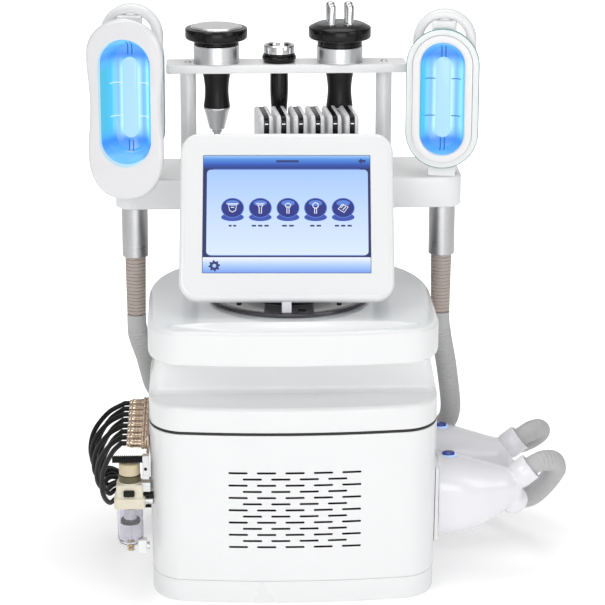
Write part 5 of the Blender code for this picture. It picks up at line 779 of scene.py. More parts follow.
def ramped(tree, source, stops, ease="LINEAR"):
    """Colours along a value, from stops of a place and a display colour."""
    node = tree.nodes.new("ShaderNodeValToRGB")
    node.color_ramp.interpolation = ease
    elements = node.color_ramp.elements
    elements.remove(elements[1])
    for index, (at, colour) in enumerate(stops):
        stop = elements.new(at) if index else elements[0]
        stop.position, stop.color = at, (*srgb(*colour), 1)
    tree.links.new(source, node.inputs[0])
    return node.outputs[0]


def lit(name, *stops, low=0.0, high=0.0):
    """A lit glass of one colour, or of colours that run along its own Z."""
    made = finish(name, (0.02, 0.025, 0.04), 0.12, coat=0.3, vary=0.02, grain=150, bump=0.004)
    tree = made.node_tree
    light_up(made, ramped(tree, ranged(tree, along(tree, 2), low * MM, high * MM), stops) if high else
             (*srgb(*stops), 1), DISPLAY_LIGHT)
    MATERIALS[name], SLOTS[name] = made, "display_glass"
    return name


def sheet(name, outline, depth, look):
    """A flat piece on the display, its outline in X and Z, a little proud of the glass behind."""
    add(name, front(outline, 0.92 - depth * SHEET_STEP, 1.1), look, None, "screen", LEAN)


def stroke(points, width, closed=False):
    """The outline of a line of one width along the points."""
    points = [np.array(p, float) for p in points]
    ends = points + [points[0]] if closed else points
    left, right = [], []
    for i, p in enumerate(ends):
        before = ends[i - 1] if i else (ends[-2] if closed else p)
        after = ends[i + 1] if i + 1 < len(ends) else (ends[1] if closed else p)
        t = (after - before) / np.linalg.norm(after - before)
        n = np.array([-t[1], t[0]]) * width / 2
        left.append(tuple(p + n))
        right.append(tuple(p - n))
    return left + right[::-1]


GLASS = lit("screen_header", (0.0, (0.05, 0.13, 0.42)), (0.3, (0.1, 0.3, 0.7)), (0.7, (0.3, 0.56, 0.9)),
            (1.0, (0.66, 0.83, 0.98)), low=display_z(168.4), high=display_z(154.4))
PANEL = lit("screen_panel", (0.0, (0.87, 0.93, 1.0)), (0.5, (0.78, 0.87, 1.0)), (1.0, (0.65, 0.79, 1.0)),
            low=display_z(254.6), high=display_z(169))
FOOT = lit("screen_foot", (0.0, (0.45, 0.62, 0.95)), (0.5, (0.7, 0.82, 0.98)), (1.0, (0.97, 0.98, 1.0)),
           low=display_z(272), high=display_z(256.4))
FRAME = lit("screen_frame", 0.04, 0.1, 0.36)
WHITE = lit("screen_white", 0.96, 0.98, 1.0)
MARK = lit("screen_mark", 0.1, 0.16, 0.42)
BALL = lit("screen_ball", 0.04, 0.1, 0.5)
SHADE = lit("screen_shade", 0.16, 0.28, 0.68)
SHEEN = lit("screen_sheen", 0.34, 0.5, 0.86)
add("display", front(rounded(105, 77.7, 1.2, 6, (0, 112.8)), 1.0, 14), FRAME, "display_panel", "screen", LEAN)
for name, (u0, u1, v0, v1, corner, steps), depth, look in (
        ("header", (202.3, 370.1, 154.9, 168.2, 1.2, 8), 1, GLASS),
        ("home", (205.8, 368, 169.2, 254.4, 5, 8), 1, PANEL),
        ("foot", (202.3, 370.1, 256.6, 271.8, 1.2, 8), 1, FOOT),
        ("rule_1", (210, 364, 254.55, 255.25, 0.3, 3), 2, SHEEN),
        ("rule_2", (212, 360, 168.35, 169.05, 0.3, 3), 2, SHEEN),
        ("title", (275.5, 298.5, 159.6, 161.8, 1.2, 4), 2, MARK)):
    sheet(f"display_{name}", rounded((u1 - u0) * DISPLAY_MM[0] / 2, (v1 - v0) * DISPLAY_MM[1] / 2, corner, steps,
                                     (display_x((u0 + u1) / 2), display_z((v0 + v1) / 2))), depth, look)
gear_x, gear_z = display_x(214), display_z(265)
teeth = [(r * c, r * s) for r, (c, s) in zip(([7.2] * 3 + [5.6] * 3) * 8, around(48))]
arrow = [(-6, 0), (0, 5), (0, 2), (6, 2), (6, -2), (0, -2), (0, -5)]
sheet("display_arrow", [(display_x(362) + x * 0.8, display_z(160.5) + z * 0.8) for x, z in arrow], 2, MARK)
sheet("display_gear", [(gear_x + x, gear_z + z) for x, z in teeth], 3, MARK)
sheet("display_gear_hole", oval(gear_x, gear_z, 2.4, 2.4, 24), 4, FOOT)
STALK = [(-1.3, 1), (-1.3, -6.5), (1.3, -6.5), (1.3, 1)]
# Each icon: its place, the length of the mark below it, its closed lines and its open lines
ICONS = (
    (231.8, 9, [[(-5, 4), (5, 4), (3.4, -3), (0, -5), (-3.4, -3)]], [[(-7, 5.5), (7, 5.5)], [(-2, 1), (2, 1)]]),
    (259.7, 19, [[(-5, 6), (5, 6), (1.4, 1), (1.4, -6.5), (-1.4, -6.5), (-1.4, 1)]], [[(-3.2, 4), (3.2, 4)]]),
    (287.5, 14, [[(-3.5, 4), (-1.5, 6), (1.5, 6), (3.5, 4), (2.5, 1.5), (-2.5, 1.5)], STALK], []),
    (315.2, 13, [oval(0, 3.4, 3.4, 3.4, 12), [(-1.2, -0.4), (-1.2, -6.5), (1.2, -6.5), (1.2, -0.4)]], []),
    (342.9, 19, [[(-6, -1), (-1, 5), (6, 1.5), (1, -5.5)]], [[(-3, 0.2), (0.8, 4)], [(-0.6, -2.4), (3.2, 1.8)]]))
for icon, (u, mark, closed_lines, open_lines) in enumerate(ICONS, 1):
    x0, z0 = display_x(u), display_z(207.5)
    for layer, (name, z, rx, rz, count, look) in enumerate((
            ("base", display_z(216.8), 14.2, 5.2, 40, SHADE), ("ring", z0, 14.4, 13.2, 45, SHEEN),
            ("ball", z0, 13.5, 12.3, 45, BALL), ("sheen", z0 + 6.3, 8.4, 3.8, 36, SHEEN)), 2):
        sheet(f"icon_{icon}_{name}", oval(x0, z, rx, rz, count), layer, look)
    for line, points in enumerate(closed_lines + open_lines, 1):
        drawn = stroke([(x0 + x * 1.05, z0 - 0.4 + z * 1.05) for x, z in points], 1.05, line <= len(closed_lines))
        sheet(f"icon_{icon}_line_{line}", drawn, 6, WHITE)
    dashes = max(2, mark // 5)
    for dash in range(dashes):
        width = mark * DISPLAY_MM[0] / dashes
        centre = (x0 + (dash - (dashes - 1) / 2) * width, display_z(225.3))
        sheet(f"icon_{icon}_mark_{dash + 1}", rounded(width * 0.36, 1.15, 0.9, 3, centre), 2, MARK)

# Shelf, posts and rail
RACK_Y, RAIL_TOP = 120, 636.7
POSTS = (("left", -128.5), ("right", 125.5))
PADS = [place(-28.5 + 21.9 * i, 50, 492, (8, "Z")) for i in range(6)]


def slab(outline_of, z0, z1, edge):
    """A slab whose lower and upper edges are rounded."""
    steps = fillet(edge, edge, 7)
    return loft([at_z(outline_of(draw), z0 + edge - rise) for draw, rise in reversed(steps)]
                + [at_z(outline_of(draw), z1 - edge + rise) for draw, rise in steps])


shelf = add("shelf", slab(lambda i: rounded(223 - i, 59 - i, 22 - i, 12, (0, 102)), 459, 500, 3), "white",
            "accessory_shelf")
cut(shelf, *[prism(oval(x, y, r, r), 450, 510) for x, y, r in (
    (-199, 66, 17.8), (199, 66, 17.8), (-128.5, RACK_Y, 10.7), (125.5, RACK_Y, 10.7))])
for spot in PADS:
    cut(shelf, box((-9.5, -0.7, 0), (9.5, 50.7, 12)), at=spot)
for post, x in POSTS:
    lathe(f"{post}_post_tube", [
        (0, 355.3), (15.4, 355.3), (16, 355.9), (16, 358.4), (15.1, 359.3), (11.6, 359.3), (10.9, 359.8), (10.4, 360.8),
        (10.4, 624.2), (9.9, 624.7), (0, 624.7)], "white", f"{post}_post", at=place(x, RACK_Y, 0), steps=64)
    for mark, aside in (("a", -12.8), ("b", 12.8)):
        screw(f"{post}_post_screw_{mark}", place(x + aside, RACK_Y, 359.1), 1.9, "silver", height=0.9)
rail = add("rail", slab(lambda i: rounded(155 - i, 22.5 - i, 5 - i, 8, (-1.5, RACK_Y)), 625, RAIL_TOP, 1.2), "white",
           "tool_rail")
cut(rail, *[prism(oval(x, RACK_Y, r, r), 610, 650) for x, r in ((-91.5, 19.3), (-10.5, 12.6), (68, 19.3))])
screws("rail_screw", [place(x, RACK_Y, RAIL_TOP) for _, x in POSTS], 4.4, "silver", "machine", 1.4)

# Hand pieces, turned about their own axes from the rail's top
TOOL_Z = 637
for tool, x, top in (("cavitation", -91.5, 23.2), ("body_rf", 68, 20.4)):
    spot, body = place(x, RACK_Y, TOOL_Z), f"{tool}_piece"
    handle = [(17.3, -58.4), (16.3, -51), (15.5, -42), (15.5, -34), (16.2, -26), (17.6, -17), (18.4, -11.7)]
    head = [(0, top + 0.3), (28.3, top + 0.3), (28.8, top + 0.8), (28.8, 25.4), (28.2, 25.8), (28.2, 26.5),
            (28.8, 26.9), (28.8, 29.4), (30, 29.8), (36.4, 29.8), (38.2, 30.3), (39.5, 31.4), (40.2, 33)]
    for name, profile, look, node in (
            ("stub", [(0, -102), (3.8, -102), (4.5, -101.3), (4.5, -98.5), (3.9, -98.1), (3.9, -97.2), (4.5, -96.8),
                      (4.5, -93), (0, -93)], "soft_black", None),
            ("nut", [(0, -93.2), (6, -93.2), (6.7, -92.4), (6.7, -91), (6.2, -90.6), (6.7, -90.2), (6.7, -88.2),
                     (0, -88.2)], "chrome", None),
            ("cone", [(0, -88.2), (9.5, -88.2), (10.2, -87.6), (10.5, -86.6), (16.5, -62.6), (17.2, -61.6), (17.3, -60),
                      (17, -59.3), (0, -59.3)], "silver", None),
            ("handle", [(0, -59.1), (16.7, -59.1), (17.3, -58.6), *curve_profile(handle), (18.4, -0.8), (18, -0.3),
                        (0, -0.3)], "grip", "grip"),
            ("collar", [(0, 0), (28.9, 0), (29.6, 0.7), (29.6, 2.9), (29.2, 3.1), (29.2, 3.5), (29.6, 3.7),
                        (29.6, top - 0.7), (29, top), (0, top)], "silver", "barrel")):
        lathe(f"{tool}_{name}", profile, look, node and f"{tool}_{node}", body, spot)
    if tool == "cavitation":
        lathe("cavitation_cap", head + [(40.2, 43.2), (39.7, 44.3), (38.4, 44.8), (34, 44.8), (33.6, 44.3),
                                        (32.4, 44.3), (32, 44.8), (0, 44.8)], "black", "cavitation_head", body, spot)
        lathe("cavitation_disc", [(0, 44.9), (30.7, 44.9), (31, 45.3), (31, 46.3), (30.5, 47), (29.3, 47.5), (24, 47.7),
                                  (0, 47.8)], "silver", "cavitation_face", body, spot)
        lathe("cavitation_ring", [(31.2, 44.6), (33.2, 44.6), (33.2, 45.5), (32.9, 45.8), (31.5, 45.8), (31.2, 45.5)],
              "chrome", None, body, spot, closed=True)
    else:
        lathe("body_rf_cap", head + [(40.2, 43.8), (39.9, 44.6), (39, 45.4), (31.4, 49.2), (30, 49.7), (0, 49.8)],
              "black", "body_rf_head", body, spot)
        for index, (aside, ahead) in enumerate(((-11.6, -11.6), (11.6, -11.6), (11.6, 11.6), (-11.6, 11.6))):
            pin_at = spot @ place(aside, ahead, 0)
            lathe(f"body_rf_pin_{index + 1}", [(0, 46), (5.7, 46), (5.7, 72.4), (5.3, 74), (4.2, 75.1), (2.4, 75.7),
                                               (0, 75.8)], "chrome", None if index else "body_rf_electrodes", body,
                  pin_at, 48)
            lathe(f"body_rf_pin_ring_{index + 1}", [(5.8, 49.4), (6.7, 49.4), (6.7, 50.1), (6.4, 50.4), (5.8, 50.4)],
                  "silver", None, body, pin_at, 48, True)
spot, body = place(-10.5, RACK_Y, TOOL_Z), "face_rf_piece"
handle = [(9.7, -68.8), (10.6, -58), (11.4, -46), (11.7, -34), (11.6, -20), (11.4, -8)]
neck = [(20.8, 2.6), (21.7, 3.8), (22, 5.6), (21.7, 7.4), (20.9, 8.8), (20.3, 9.6)]
lathe("face_rf_stub", [(0, -98), (3.8, -98), (4.5, -97.3), (4.5, -74), (6.4, -72.6), (7.4, -70.6), (0, -70.6)],
      "soft_black", None, body, spot)
lathe("face_rf_handle", [(0, -70), (8.8, -70), (9.6, -69.2), *curve_profile(handle), (11.4, 0), (19.8, 0), (20.5, 0.6),
                         (20.6, 2.2), *curve_profile(neck, 0.6), (20.3, 10.6), (19.6, 11), (0, 11)], "black",
      "face_rf_grip", body, spot)
lathe("face_rf_cup", [(0, 11.3), (19.3, 11.3), (20, 12), (20, 20.6), (19.7, 21.6), (18.9, 22.3), (17.4, 22.3),
                      (16.2, 21.7), (15.5, 20.7), (15.2, 18.6), (14.3, 17.2), (12.4, 16.5), (0, 16.3)], "chrome",
      "face_rf_tip", body, spot)


# Pads: two pale shells on a dark core
def pad_outline(i):
    return [(i, 0.3), (50 - i, 0.3)] + arc(45, 86.2, 5 - i, 5 - i, 0, 84, 6) + arc(7, 80.2, 7 - i, 7 - i, 96, 180, 8)


PAD_SHELL = [(0.7, 3.35), (0.15, 3.6), (0, 4.1)] + [(draw, 5.4 + rise) for draw, rise in fillet(3.1, 3.3, 7)]
for index, spot in enumerate(PADS, 1):
    body = f"pad_{index}"
    soften(add(f"pad_core_{index}", side(pad_outline(0.9), -3.5, 3.5), "black", f"laser_pad_{index}", body, spot), 0.3)
    for half, way in (("left", -1), ("right", 1)):
        rings = [[(way * x, y, z) for y, z in pad_outline(inset)] for inset, x in PAD_SHELL]
        add(f"pad_{half}_shell_{index}", loft(rings), "pad", None, body, spot)
    block(f"pad_light_{index}", (-2.2, 0.6, 76.1), (2.2, 1.2, 77.4), 0.2, "pad_light", None, body, spot)


# Cooling handles on the shelf
def cup_glow(name, centre):
    """Blue painted light of a cup: bands across its width, the pale ones painted highlights, that turn to a deeper blue
    at both ends.
    """
    made = finish(name, (0.02, 0.05, 0.09), 0.22, coat=0.3, grain=300, bump=0.01)
    tree = made.node_tree
    # The pale bands are painted highlights in the cup's painted glow
    highlight_bands = ramped(tree, ranged(tree, along(tree, 0), -0.028, 0.028), (
        (0.0, (0.2, 0.72, 0.86)), (0.07, (0.24, 0.76, 0.95)), (0.13, (0.5, 0.86, 1.0)), (0.22, (0.52, 0.77, 0.99)),
        (0.31, (0.76, 1.0, 1.0)), (0.42, (0.68, 0.91, 1.0)), (0.58, (0.7, 0.92, 1.0)), (0.69, (0.78, 1.0, 1.0)),
        (0.8, (0.52, 0.78, 0.99)), (0.91, (0.6, 0.93, 1.0)), (1.0, (0.36, 0.78, 0.98))), "EASE")
    rise = wire(tree, "Math", {0: along(tree, 2), 1: centre * MM}, operation="SUBTRACT")
    far = wire(tree, "Math", {0: rise}, operation="ABSOLUTE")
    ends = ramped(tree, ranged(tree, far, 0.045, 0.0725), (
        (0.0, (0.36, 0.68, 1.0)), (0.35, (0.24, 0.56, 0.97)), (0.75, (0.34, 0.66, 1.0)), (1.0, (0.45, 0.76, 1.0))),
        "EASE")
    light_up(made, wire(tree, "Mix", {0: ranged(tree, far, 0.034, 0.056, way="SMOOTHSTEP"), 6: highlight_bands, 7: ends}, 2,
                        data_type="RGBA"), 0.92)
    MATERIALS[name], SLOTS[name] = made, "cup_blue"
    return name


def glowing(name, colour, strength, slot="cup_blue"):
    MATERIALS[name] = finish(name, tuple(0.05 * c for c in srgb(*colour)), 0.25, coat=0.3, grain=300, bump=0.01,
                             glow=(srgb(*colour), strength))
    SLOTS[name] = slot
    return name


# The ridge and the lines on the cup glow with it: painted light
CUP_CORE = glowing("cup_core", (0.7, 0.9, 1.0), 0.92)
CUP_LINE = glowing("cup_line", (0.14, 0.4, 0.76), 0.8)
CUP_PALE = glowing("cup_pale", (0.86, 0.98, 1.0), 0.9)
HOLE_Y, SHELF_TURN = 66, (-10, "Z")
BOWL_FLOOR, BOWL_EDGE, BOWL_FLOOR_WIDE = -12.3, 1.2, 38
# Each handle: its place, its rise over the right one, the bowl's width, height, front and mid height, the pocket's
# height and mid height, the rim's height, the bowl's inset and depth at the pocket, and its upper line's rise
for hand, x, rise, cup_wide, cup_tall, cup_top, cup_mid, pocket_tall, pocket_mid, rim_tall, root, step, upper in (
        ("right", 199, 0, 55.4, 144.4, -28.9, 602, 144.4, 602, 145.2, 0.4, -22, 24),
        ("left", -199, 9, 63.4, 159.6, -47, 604.6, 151, 610, 156.8, 0.8, -31.3, 19)):
    body, prefix, mid = f"{hand}_cryo_handle", f"{hand}_cryo", 602 + rise
    spot = place(x, HOLE_Y, 0, SHELF_TURN)
    shell = [(-22.7, 1.0), (-22.2, 0.3), (-21, 0), (-10, 0), (2, 0)]
    shell += [(8 + up, draw) for draw, up in fillet(12, 12, 12)]
    add(f"{prefix}_shell", loft(hoops([(cup_wide, pocket_tall, y) for y in (-8.3, -22.7)], pocket_mid) + hoops([
        (81 - 2 * inset, 169 - 2 * inset, y) for y, inset in shell], mid)), "white", f"{prefix}_body", body, spot)
    rim = [(76, 164, -22.7), (76, 164, -29.4), (75.7, 163.7, -30.3), (75, 163, -30.9), (74, 162, -31)]
    rim += [(cup_wide + 0.8 + grow, rim_tall + grow, y) for grow, y in (
        (6, -31), (3, -30.7), (1, -29.9), (0, -28.8), (0, -22.7))]
    add(f"{prefix}_rim", loft(hoops(rim, mid), closed=True), "warm_white", None, body, spot)
    for half, wide, tall, w, t, low, high, look, node in (
            ("plate", 76.8, 164.8, 91.8, 178.8, -27.8, -23.2, "frost", f"{prefix}_flange"),
            ("edge", 92, 179, 93, 180, -28, -23, "teal", None)):
        add(f"{prefix}_flange_{half}", loft(hoops([
            (wide, tall, high), (w - 0.6, t - 0.6, high), (w, t, high - 0.5), (w, t, low + 0.5),
            (w - 0.6, t - 0.6, low), (wide + 0.1, tall + 0.1, low), (wide, tall, low + 0.1)], mid), closed=True),
            look, node, body, spot)

    def wall(turn):
        """How far the bowl's wall is drawn in and its Y, from its floor at 0 to its edge at a quarter turn."""
        draw = BOWL_EDGE + ((cup_wide - BOWL_FLOOR_WIDE) / 2 - BOWL_EDGE) * (1 - math.sin(turn))
        return draw, BOWL_FLOOR + (cup_top + 12.5) * math.sin(turn) ** 1.5

    bowl = [(cup_wide - 2 * root, pocket_tall - 2 * root, y, pocket_mid) for y in (-8.6, step)]
    bowl += [(cup_wide - 2 * inset, cup_tall - 2 * inset, y, cup_mid) for inset, y in [
        (0, step - 0.5), (0, cup_top + 0.6), (0.3, cup_top + 0.1), (0.9, cup_top),
        *[wall(turn) for turn in np.linspace(math.pi / 2, 0, 19)]]]
    add(f"{prefix}_bowl", loft(hoops(bowl), angle=60), cup_glow(f"{hand}_cup", cup_mid), f"{prefix}_cup", body, spot)
    ridge = [(20 - 2 * inset, 104 - 2 * inset, y) for inset, y in (
        (0, -11.8), (0, -14.3), (0.5, -15.5), (1.5, -16.2), (3.2, -16.5))]
    add(f"{prefix}_ridge", loft(hoops(ridge, cup_mid, 20)), CUP_CORE, None, body, spot)

    def on_wall(share, half):
        """A point just over the bowl's wall, its way out from the middle and its Y."""
        draw, y = wall(math.radians(90 * share))
        return half - draw, y - 0.2

    for way, end, hand_side in ((-1, "low", "left"), (1, "top", "right")):
        for tick, offset in enumerate((-2.6, 2.6), 1):
            points = [(on_wall(0, cup_tall / 2)[0] - back, BOWL_FLOOR - 0.2) for back in (12, 8, 4, 1)]
            points += [on_wall(share, cup_tall / 2) for share in np.linspace(0.12, 0.4, 5)]
            path = [(offset, y, cup_mid + way * out) for out, y in points]
            add(f"{prefix}_tick_{end}_{tick}", sweep(path, [0.7] * 9, 10), CUP_LINE, None, body, spot)
        for row, height in enumerate((cup_mid - 24, cup_mid + upper), 1):
            points = [(out, BOWL_FLOOR - 0.2) for out in (10.4, 14, 18)]
            points += [on_wall(share, cup_wide / 2) for share in (0.1, 0.2, 0.3)]
            add(f"{prefix}_line_{hand_side}_{row}", sweep([(way * out, y, height) for out, y in points], [0.6] * 6, 10),
                CUP_PALE if rise else CUP_LINE, None, body, spot)
    hoop_half, hoop_mid = 34.05, 673.2 + rise
    legs = np.linspace(640 + rise, hoop_mid, 6)
    line = [(hoop_half, z) for z in legs[:-1]] + arc(0, hoop_mid, hoop_half, hoop_half, 0, 180, 40)
    line += [(-hoop_half, z) for z in legs[-2::-1]]
    add(f"{prefix}_hoop", bar(line, rounded(6.2, 8, 4.6, 6)), "white", None, body, spot)
    block(f"{prefix}_top_tab", (-15, -20, mid + 76), (15, -1, 700 + rise), 1.6, "white", None, body, spot)
    block(f"{prefix}_neck", (-17.5, -22, 500.3), (17.5, 18, mid - 75), 1.4, "white", None, body, spot)
    lathe(f"{prefix}_ferrule", [(9, 393), (16.2, 393), (16.9, 393.8), (16.9, 499.4), (16.3, 500), (9, 500)], "tube",
          f"{prefix}_stem", body, spot, closed=True)
    ribs = [(9, 393.2)]
    for rib in range(17):
        low, r = 393.2 - (rib + 1) * 4.6, 13.4 - 1.2 * rib / 17
        ribs += [(r - deep, low + up) for deep, up in (
            (0, 4.4), (0, 1.5), (0.3, 1.2), (1.1, 1.1), (1.1, 0.2), (0.3, 0))]
    lathe(f"{prefix}_sleeve", ribs + [(11.6, 314.4), (9, 314.4)], "rose", None, body, spot, 64, True)

# Contoured cup over the left handle: a narrow waist between two wide ends, with a window for the cup below
SHROUD_TOP, SHROUD_TALL, SHROUD_HALF, SHROUD_MID = 712, 232, 49, 596
heights = (0.0, 0.012, 0.045, 0.1, 0.17, 0.26, 0.36, 0.47, 0.58, 0.69, 0.79, 0.87, 0.93, 0.97, 0.992, 1.0)
widths = (0.0, 0.30, 0.62, 0.86, 0.985, 1.0, 0.965, 0.935, 0.95, 0.99, 0.985, 0.9, 0.74, 0.53, 0.28, 0.0)
edge = [(w * SHROUD_HALF, SHROUD_TOP - h * SHROUD_TALL) for h, w in zip(heights, widths)]
edge = curve_profile([(-edge[1][0], edge[1][1])] + edge + [(-edge[-2][0], edge[-2][1])], 3.0)
edge = [(x, z) for x, z in edge if x > 0.4]
outline = edge + [(-x, z) for x, z in reversed(edge)]


def shroud_ring(inset, y, saddle):
    ring = []
    for i, (x, z) in enumerate(outline):
        t = np.array(outline[(i + 1) % len(outline)]) - np.array(outline[i - 1])
        x, z = np.array((x, z)) + np.array([t[1], -t[0]]) / np.linalg.norm(t) * inset
        ring.append((x, y + saddle * (1 - ((z - SHROUD_MID) / 116) ** 2) * abs(x) / SHROUD_HALF, z))
    return ring


shroud_levels = [(6.0, -31.3, 0), (5.2, -31.6, 0.2), (3.4, -36, 1.8), (1.6, -42, 4), (0.5, -47, 5.8)]
shroud_levels += [(draw, -51 - rise, 7) for draw, rise in fillet(5, 5, 9)]
shroud = add("contoured_shroud", loft([shroud_ring(*level) for level in shroud_levels]), "shroud", "left_cryo_shroud",
             "contoured_cup", place(-199, HOLE_Y, 0, SHELF_TURN))
# The window's walls glow pale: painted light on the shroud's white plastic
window = loft(hoops([(65, 161.5, -29), (65, 161.5, -46), (69, 165.5, -60)], 604))
window.materials.append(MATERIALS[glowing("shroud_window_painted_light", (0.84, 0.96, 1.0), 0.75, "gloss_white")])
cut(shroud, window)


# Holster and side handles
def shell_side_x(y, z):
    """The shell's side at a height, which its rear corner draws in."""
    inset = taper(z)
    half, rx, ry = CABINET_HALF - inset, 78 - inset, 140 - inset
    behind = max(0, y - (BACK_Y - inset - ry))
    return half - rx + rx * math.sqrt(max(0, 1 - (behind / ry) ** 2))


HOLSTER_LOW, HOLSTER_TOP, HOLSTER_CORNER = 54, 160, 10
plate = []
for z in np.linspace(HOLSTER_LOW, HOLSTER_TOP, 28):
    short = max(0, HOLSTER_CORNER - min(z - HOLSTER_LOW, HOLSTER_TOP - z))
    draw = HOLSTER_CORNER - math.sqrt(max(0, HOLSTER_CORNER**2 - short**2))
    ys = np.linspace(-105.5 + draw, 101 - draw, 44)
    plate.append([(shell_side_x(y, z) + 0.3, y, z) for y in ys] + [
        (183.6, ys[-1], z), (184.3, ys[-1] - 0.8, z), (184.3, ys[0] + 0.8, z), (183.6, ys[0], z)])
add("holster", loft(plate), "base", "side_holster")
# The handle's sections along its length: mid height, half height and half width
SIDES = (0, 31, 58, 78, 92, 103)
SIDE_MID = (107, 106.5, 106.5, 109.5, 112, 113)
SIDE_TALL = (54, 48.6, 40.8, 32, 26, 19)
SIDE_WIDE = (47, 45.5, 40, 32, 26, 19)


def side_ring(x, mid, wide, tall):
    """A section of the side handle, fuller than an ellipse."""
    return [(x, wide * math.copysign(abs(c) ** (2 / 2.6), c), mid + tall * math.copysign(abs(s) ** (2 / 2.6), s))
            for c, s in around(72)]


curves = [spline([(a, b, 0) for a, b in zip(SIDES, row)], 0.5)[0] for row in (SIDE_MID, SIDE_WIDE, SIDE_TALL)]
sections = [(x, *[float(np.interp(x, fine[:, 0], fine[:, 1])) for fine in curves]) for x in np.linspace(0, 103, 36)]
sections += [(103 + rise, 113, 19 - draw, 19 - draw) for draw, rise in fillet(19, 9, 7)[1:-1]]
hollow = [(x, 107, 40 - 7.2 * x / 30, 47 - 8.4 * x / 30) for x in (30, 20, 10, 0.0)]
boss = [(1.5, 37, 44), (2.6, 37.5, 44.5), (18, 32.5, 38.5), (19.4, 31.7, 37.7), (20, 30.6, 36.6)]
for name, y in (("front", -58), ("rear", 54)):
    body, spot = f"{name}_side_handle", place(SIDE_X, y, 0)
    add(f"{name}_boss", loft([side_ring(x, 107, wide, tall) for x, wide, tall in boss]), "base", at=place(181.3, y, 0))
    grip = add(f"{name}_grip", loft([[(30, 0, 107)], *[side_ring(*row) for row in hollow + sections], [(112, 0, 113)]]),
               "lavender", f"side_handle_{name}", body, spot)
    lobe = bmesh.new()
    bmesh.ops.create_uvsphere(lobe, u_segments=48, v_segments=24, radius=19)
    bmesh.ops.translate(lobe, verts=lobe.verts, vec=(101, 0, 96))
    cut(grip, finish_mesh(lobe), operation="UNION")
    collar_at = spot @ place(88, 0, 114, (52, "Y"))
    cut(grip, turned([(0, -14), (19, -14), (18.2, -4), (17.2, 6), (16.6, 14), (16.4, 24), (0, 24)]), operation="UNION",
        at=collar_at)
    skin = grip.modifiers.new("skin", "REMESH")
    skin.mode, skin.voxel_size, skin.use_smooth_shade = "VOXEL", 1.3 * MM, True
    ease = grip.modifiers.new("ease", "SMOOTH")
    ease.factor, ease.iterations = 0.5, 14
    bake(grip)
    grip.data.shade_smooth()
    cut(grip, prism(oval(16, 0, 8.5, 6.5, 48), 155.8, 166))
    smooth(grip.data, 50)
    lathe(f"{name}_collar", [(15, 12), (16.6, 12), (16.8, 21.4), (17.4, 21.8), (17.9, 22.6), (17.9, 43.2), (17.4, 44),
                             (15.6, 44), (15, 43.4)], "lavender", None, body, collar_at, closed=True)
    for piece, look, node, rider, closed, levels in (
            ("halo", "halo", None, body, True, (
                (0.6, 157), (0.6, 159), (0.9, 159.3), (2.1, 159.1), (2.6, 158.6), (2.6, 157))),
            ("button_cap", "navy", f"side_button_{name}", f"{name}_button", False, (
                (0, 158), (0, 161), (-0.3, 161.8), (-1.1, 162.4), (-2.4, 162.7), (-4.2, 162.8)))):
        add(f"{name}_{piece}", loft([at_z(oval(16, 0, 8 + grow, 6 + grow, 48), z) for grow, z in levels], closed), look,
            node, rider, spot)


# Plugs at the left side
def fluted(profile, flutes, steps):
    """A turned shape from levels of a radius, a height and half the depth of the flutes there."""
    rings = []
    for r, z, deep in profile:
        outs = [(r - deep * (1 - math.cos(flutes * a)), a) for a in np.linspace(0, math.tau, steps, endpoint=False)]
        rings.append([(out * math.cos(a), out * math.sin(a), z) for out, a in outs])
    return loft(rings, angle=60)


PLUG_X, NUT_FLUTE, KNOB_FLUTE = -184.3, 0.18, 0.175
block("plug_plate", (PLUG_X, -107, 179), (-181.3, 72.5, 205), 0.8, "champagne", "connector_block")
screws("plate_screw", [place(PLUG_X, y, z, (-90, "Y")) for y in (-103.5, 69) for z in (184, 200)], 1.8, "silver",
       "machine", 1)
for index, y in enumerate(PLUGS_Y, 1):
    spot = place(PLUG_X, y, PLUG_Z, (-90, "Y"))
    add(f"plug_nut_{index}", fluted([(r + NUT_FLUTE, z, NUT_FLUTE) for r, z in (
        (6.6, 0), (7.4, 0.6), (7.5, 1.2), (7.5, 2.6), (6.9, 3.0), (6.9, 3.5), (7.5, 3.9), (7.5, 6.2), (7.2, 6.7),
        (6.2, 7))], 24, 120), "champagne", at=spot)
    lathe(f"plug_body_{index}", [
        (0, 6), (5.6, 6), (5.6, 11), (5, 11.5), (5, 12.4), (5.6, 12.9), (5.6, 15), (5, 15.5), (5, 16.4), (5.6, 16.9),
        (5.6, 20.8), (5.2, 21.6), (4.6, 22), (4.6, 24.6), (4.2, 25.3), (3.3, 25.5), (0, 25.5)], "champagne", at=spot,
        steps=40)

# Filter and regulator
FILTER = place(-206, -118, 0)
add("knob", fluted([(r, z, KNOB_FLUTE if 160.5 < z < 174 else 0) for r, z in (
    (12.2, 159.5), (13.1, 160.2), (13.2, 161), (13.2, 173), (12.7, 174.2), (11.6, 174.9), (10, 175))], 28, 168), "tan",
    "filter_knob", "regulator_knob", FILTER)
lathe("knob_cap", [(0, 174.6), (8.6, 174.6), (8.9, 175), (8.6, 175.4), (0, 175.6)], "tan", None, "regulator_knob",
      FILTER, 64)
lathe("filter_band", [(0, 150.6), (13.6, 150.6), (14, 151.2), (14, 158.6), (13.4, 159.2), (0, 159.2)], "olive",
      at=FILTER)
lathe("filter_collar", [(0, 135.6), (14.4, 135.6), (14.4, 147.6), (13.8, 149.6), (12.6, 150.8), (0, 150.8)], "cream",
      "filter_head", at=FILTER)
add("filter_block", loft([
    at_z(rounded(19.5 - inset, 17 - inset, max(1.2, 4.5 - inset * 0.7), 6), z) for inset, z in (
        (1.6, 117.5), (0.5, 118), (0, 119), (0, 129.5), (0.5, 131), (2.4, 132.4), (2.8, 133.4), (2.8, 145.5),
        (3.3, 147.4), (4.6, 148.6))]), "cream", at=FILTER)
block("filter_port", (-7.6, -19.2, 134.6), (6.4, -13, 142.6), 1.6, "soft_black", at=FILTER)
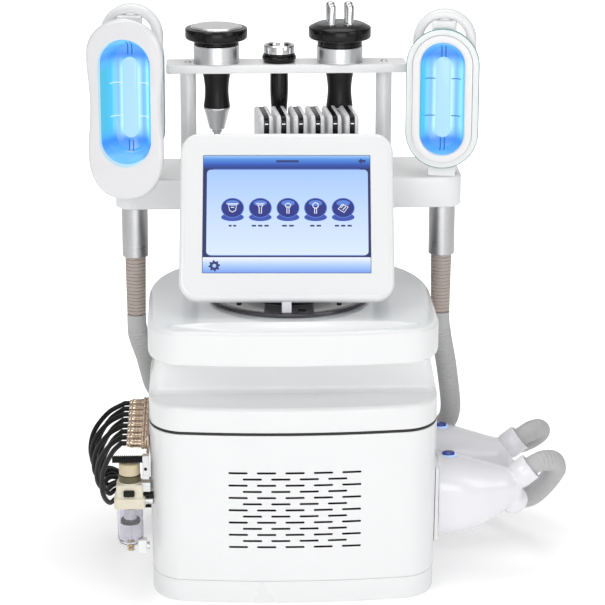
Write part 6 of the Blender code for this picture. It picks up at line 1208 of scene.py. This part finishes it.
lathe("filter_valve", [(0, 13.5), (3.2, 13.5), (3.8, 14), (3.8, 19.4), (3.2, 20.2), (0, 20.2)], "soft_black",
      at=FILTER @ place(-1, 0, 138.6, (90, "X")), steps=48)
block("filter_arm", (14, -7, 137.2), (26.2, 7, 149.8), 0.8, "silver", at=FILTER)
for index, (z, look) in enumerate(((131, "soft_black"), (124, "silver")), 1):
    lathe(f"filter_fitting_{index}", [(0, -6), (4.6, -6), (5, -5.5), (5, -1), (4.2, -0.6), (4.2, 0.4), (5, 0.8),
                                      (5, 5.4), (4.6, 6), (0, 6)], look, at=FILTER @ place(23, -1, z, (90, "Y")),
          steps=48)
lathe("bowl", [(3.5, 57.6), (5, 57.6), (5, 68), (12.6, 68), (14.4, 69.2), (15.8, 73.5), (16.2, 80), (16.2, 117.2),
               (14.2, 117.2), (14.2, 81), (13.6, 75.5), (12.4, 71.6), (10.6, 70), (3.5, 70)], "bowl", "filter_bowl",
      at=FILTER, closed=True)
lathe("filter_element", [(0, 100), (7.6, 100), (8.2, 100.8), (8.2, 117.2), (0, 117.2)], "base", at=FILTER)
lathe("filter_washer", [(0, 94.6), (12, 94.6), (12.6, 95.4), (12.6, 99), (12, 99.8), (0, 99.8)], "soft_black",
      at=FILTER)
lathe("filter_rod", [(0, 70.6), (2.2, 70.6), (2.2, 94.4), (0, 94.4)], "base", at=FILTER, steps=32)
lathe("drain", [(0, 57), (2.4, 57), (3.3, 57.6), (3.3, 61), (2.4, 61.6), (2.4, 62.4), (4.6, 62.8), (5.2, 63.6),
                (5.2, 66.4), (4.4, 67.4), (2.6, 67.9), (2.6, 70.4), (0, 70.4)], "brass", at=FILTER, steps=48)
block("fitting_block", (-189.5, -131, 156), (-181, -120, 187), 0.8, "silver")
lathe("fitting_port", [(0, 0), (2.1, 0), (2.1, 0.5), (0, 0.5)], "soft_black", at=place(-185.6, -131, 170, (90, "X")),
      steps=32)
corrugated = [(r, rib * 2.4 + up) for rib in range(16) for r, up in ((4.1, 0), (5, 0.6), (5, 1.2), (4.1, 1.8))]
lathe("strain_relief", [(0, 0)] + corrugated + [(0, 38.4)], "soft_black",
      at=place(-189.2, -125.5, 181.4, (-90, "Y")), steps=40)
block("lower_fitting", (-196.5, -132, 58), (-185.5, -120, 75), 1.2, "base")
lathe("lower_fitting_nut", [(0, 0), (4.4, 0), (4.8, 0.5), (4.8, 3.5), (4.4, 4), (0, 4)], "silver",
      at=place(-185.8, -126, 66, (90, "Y")), steps=24)
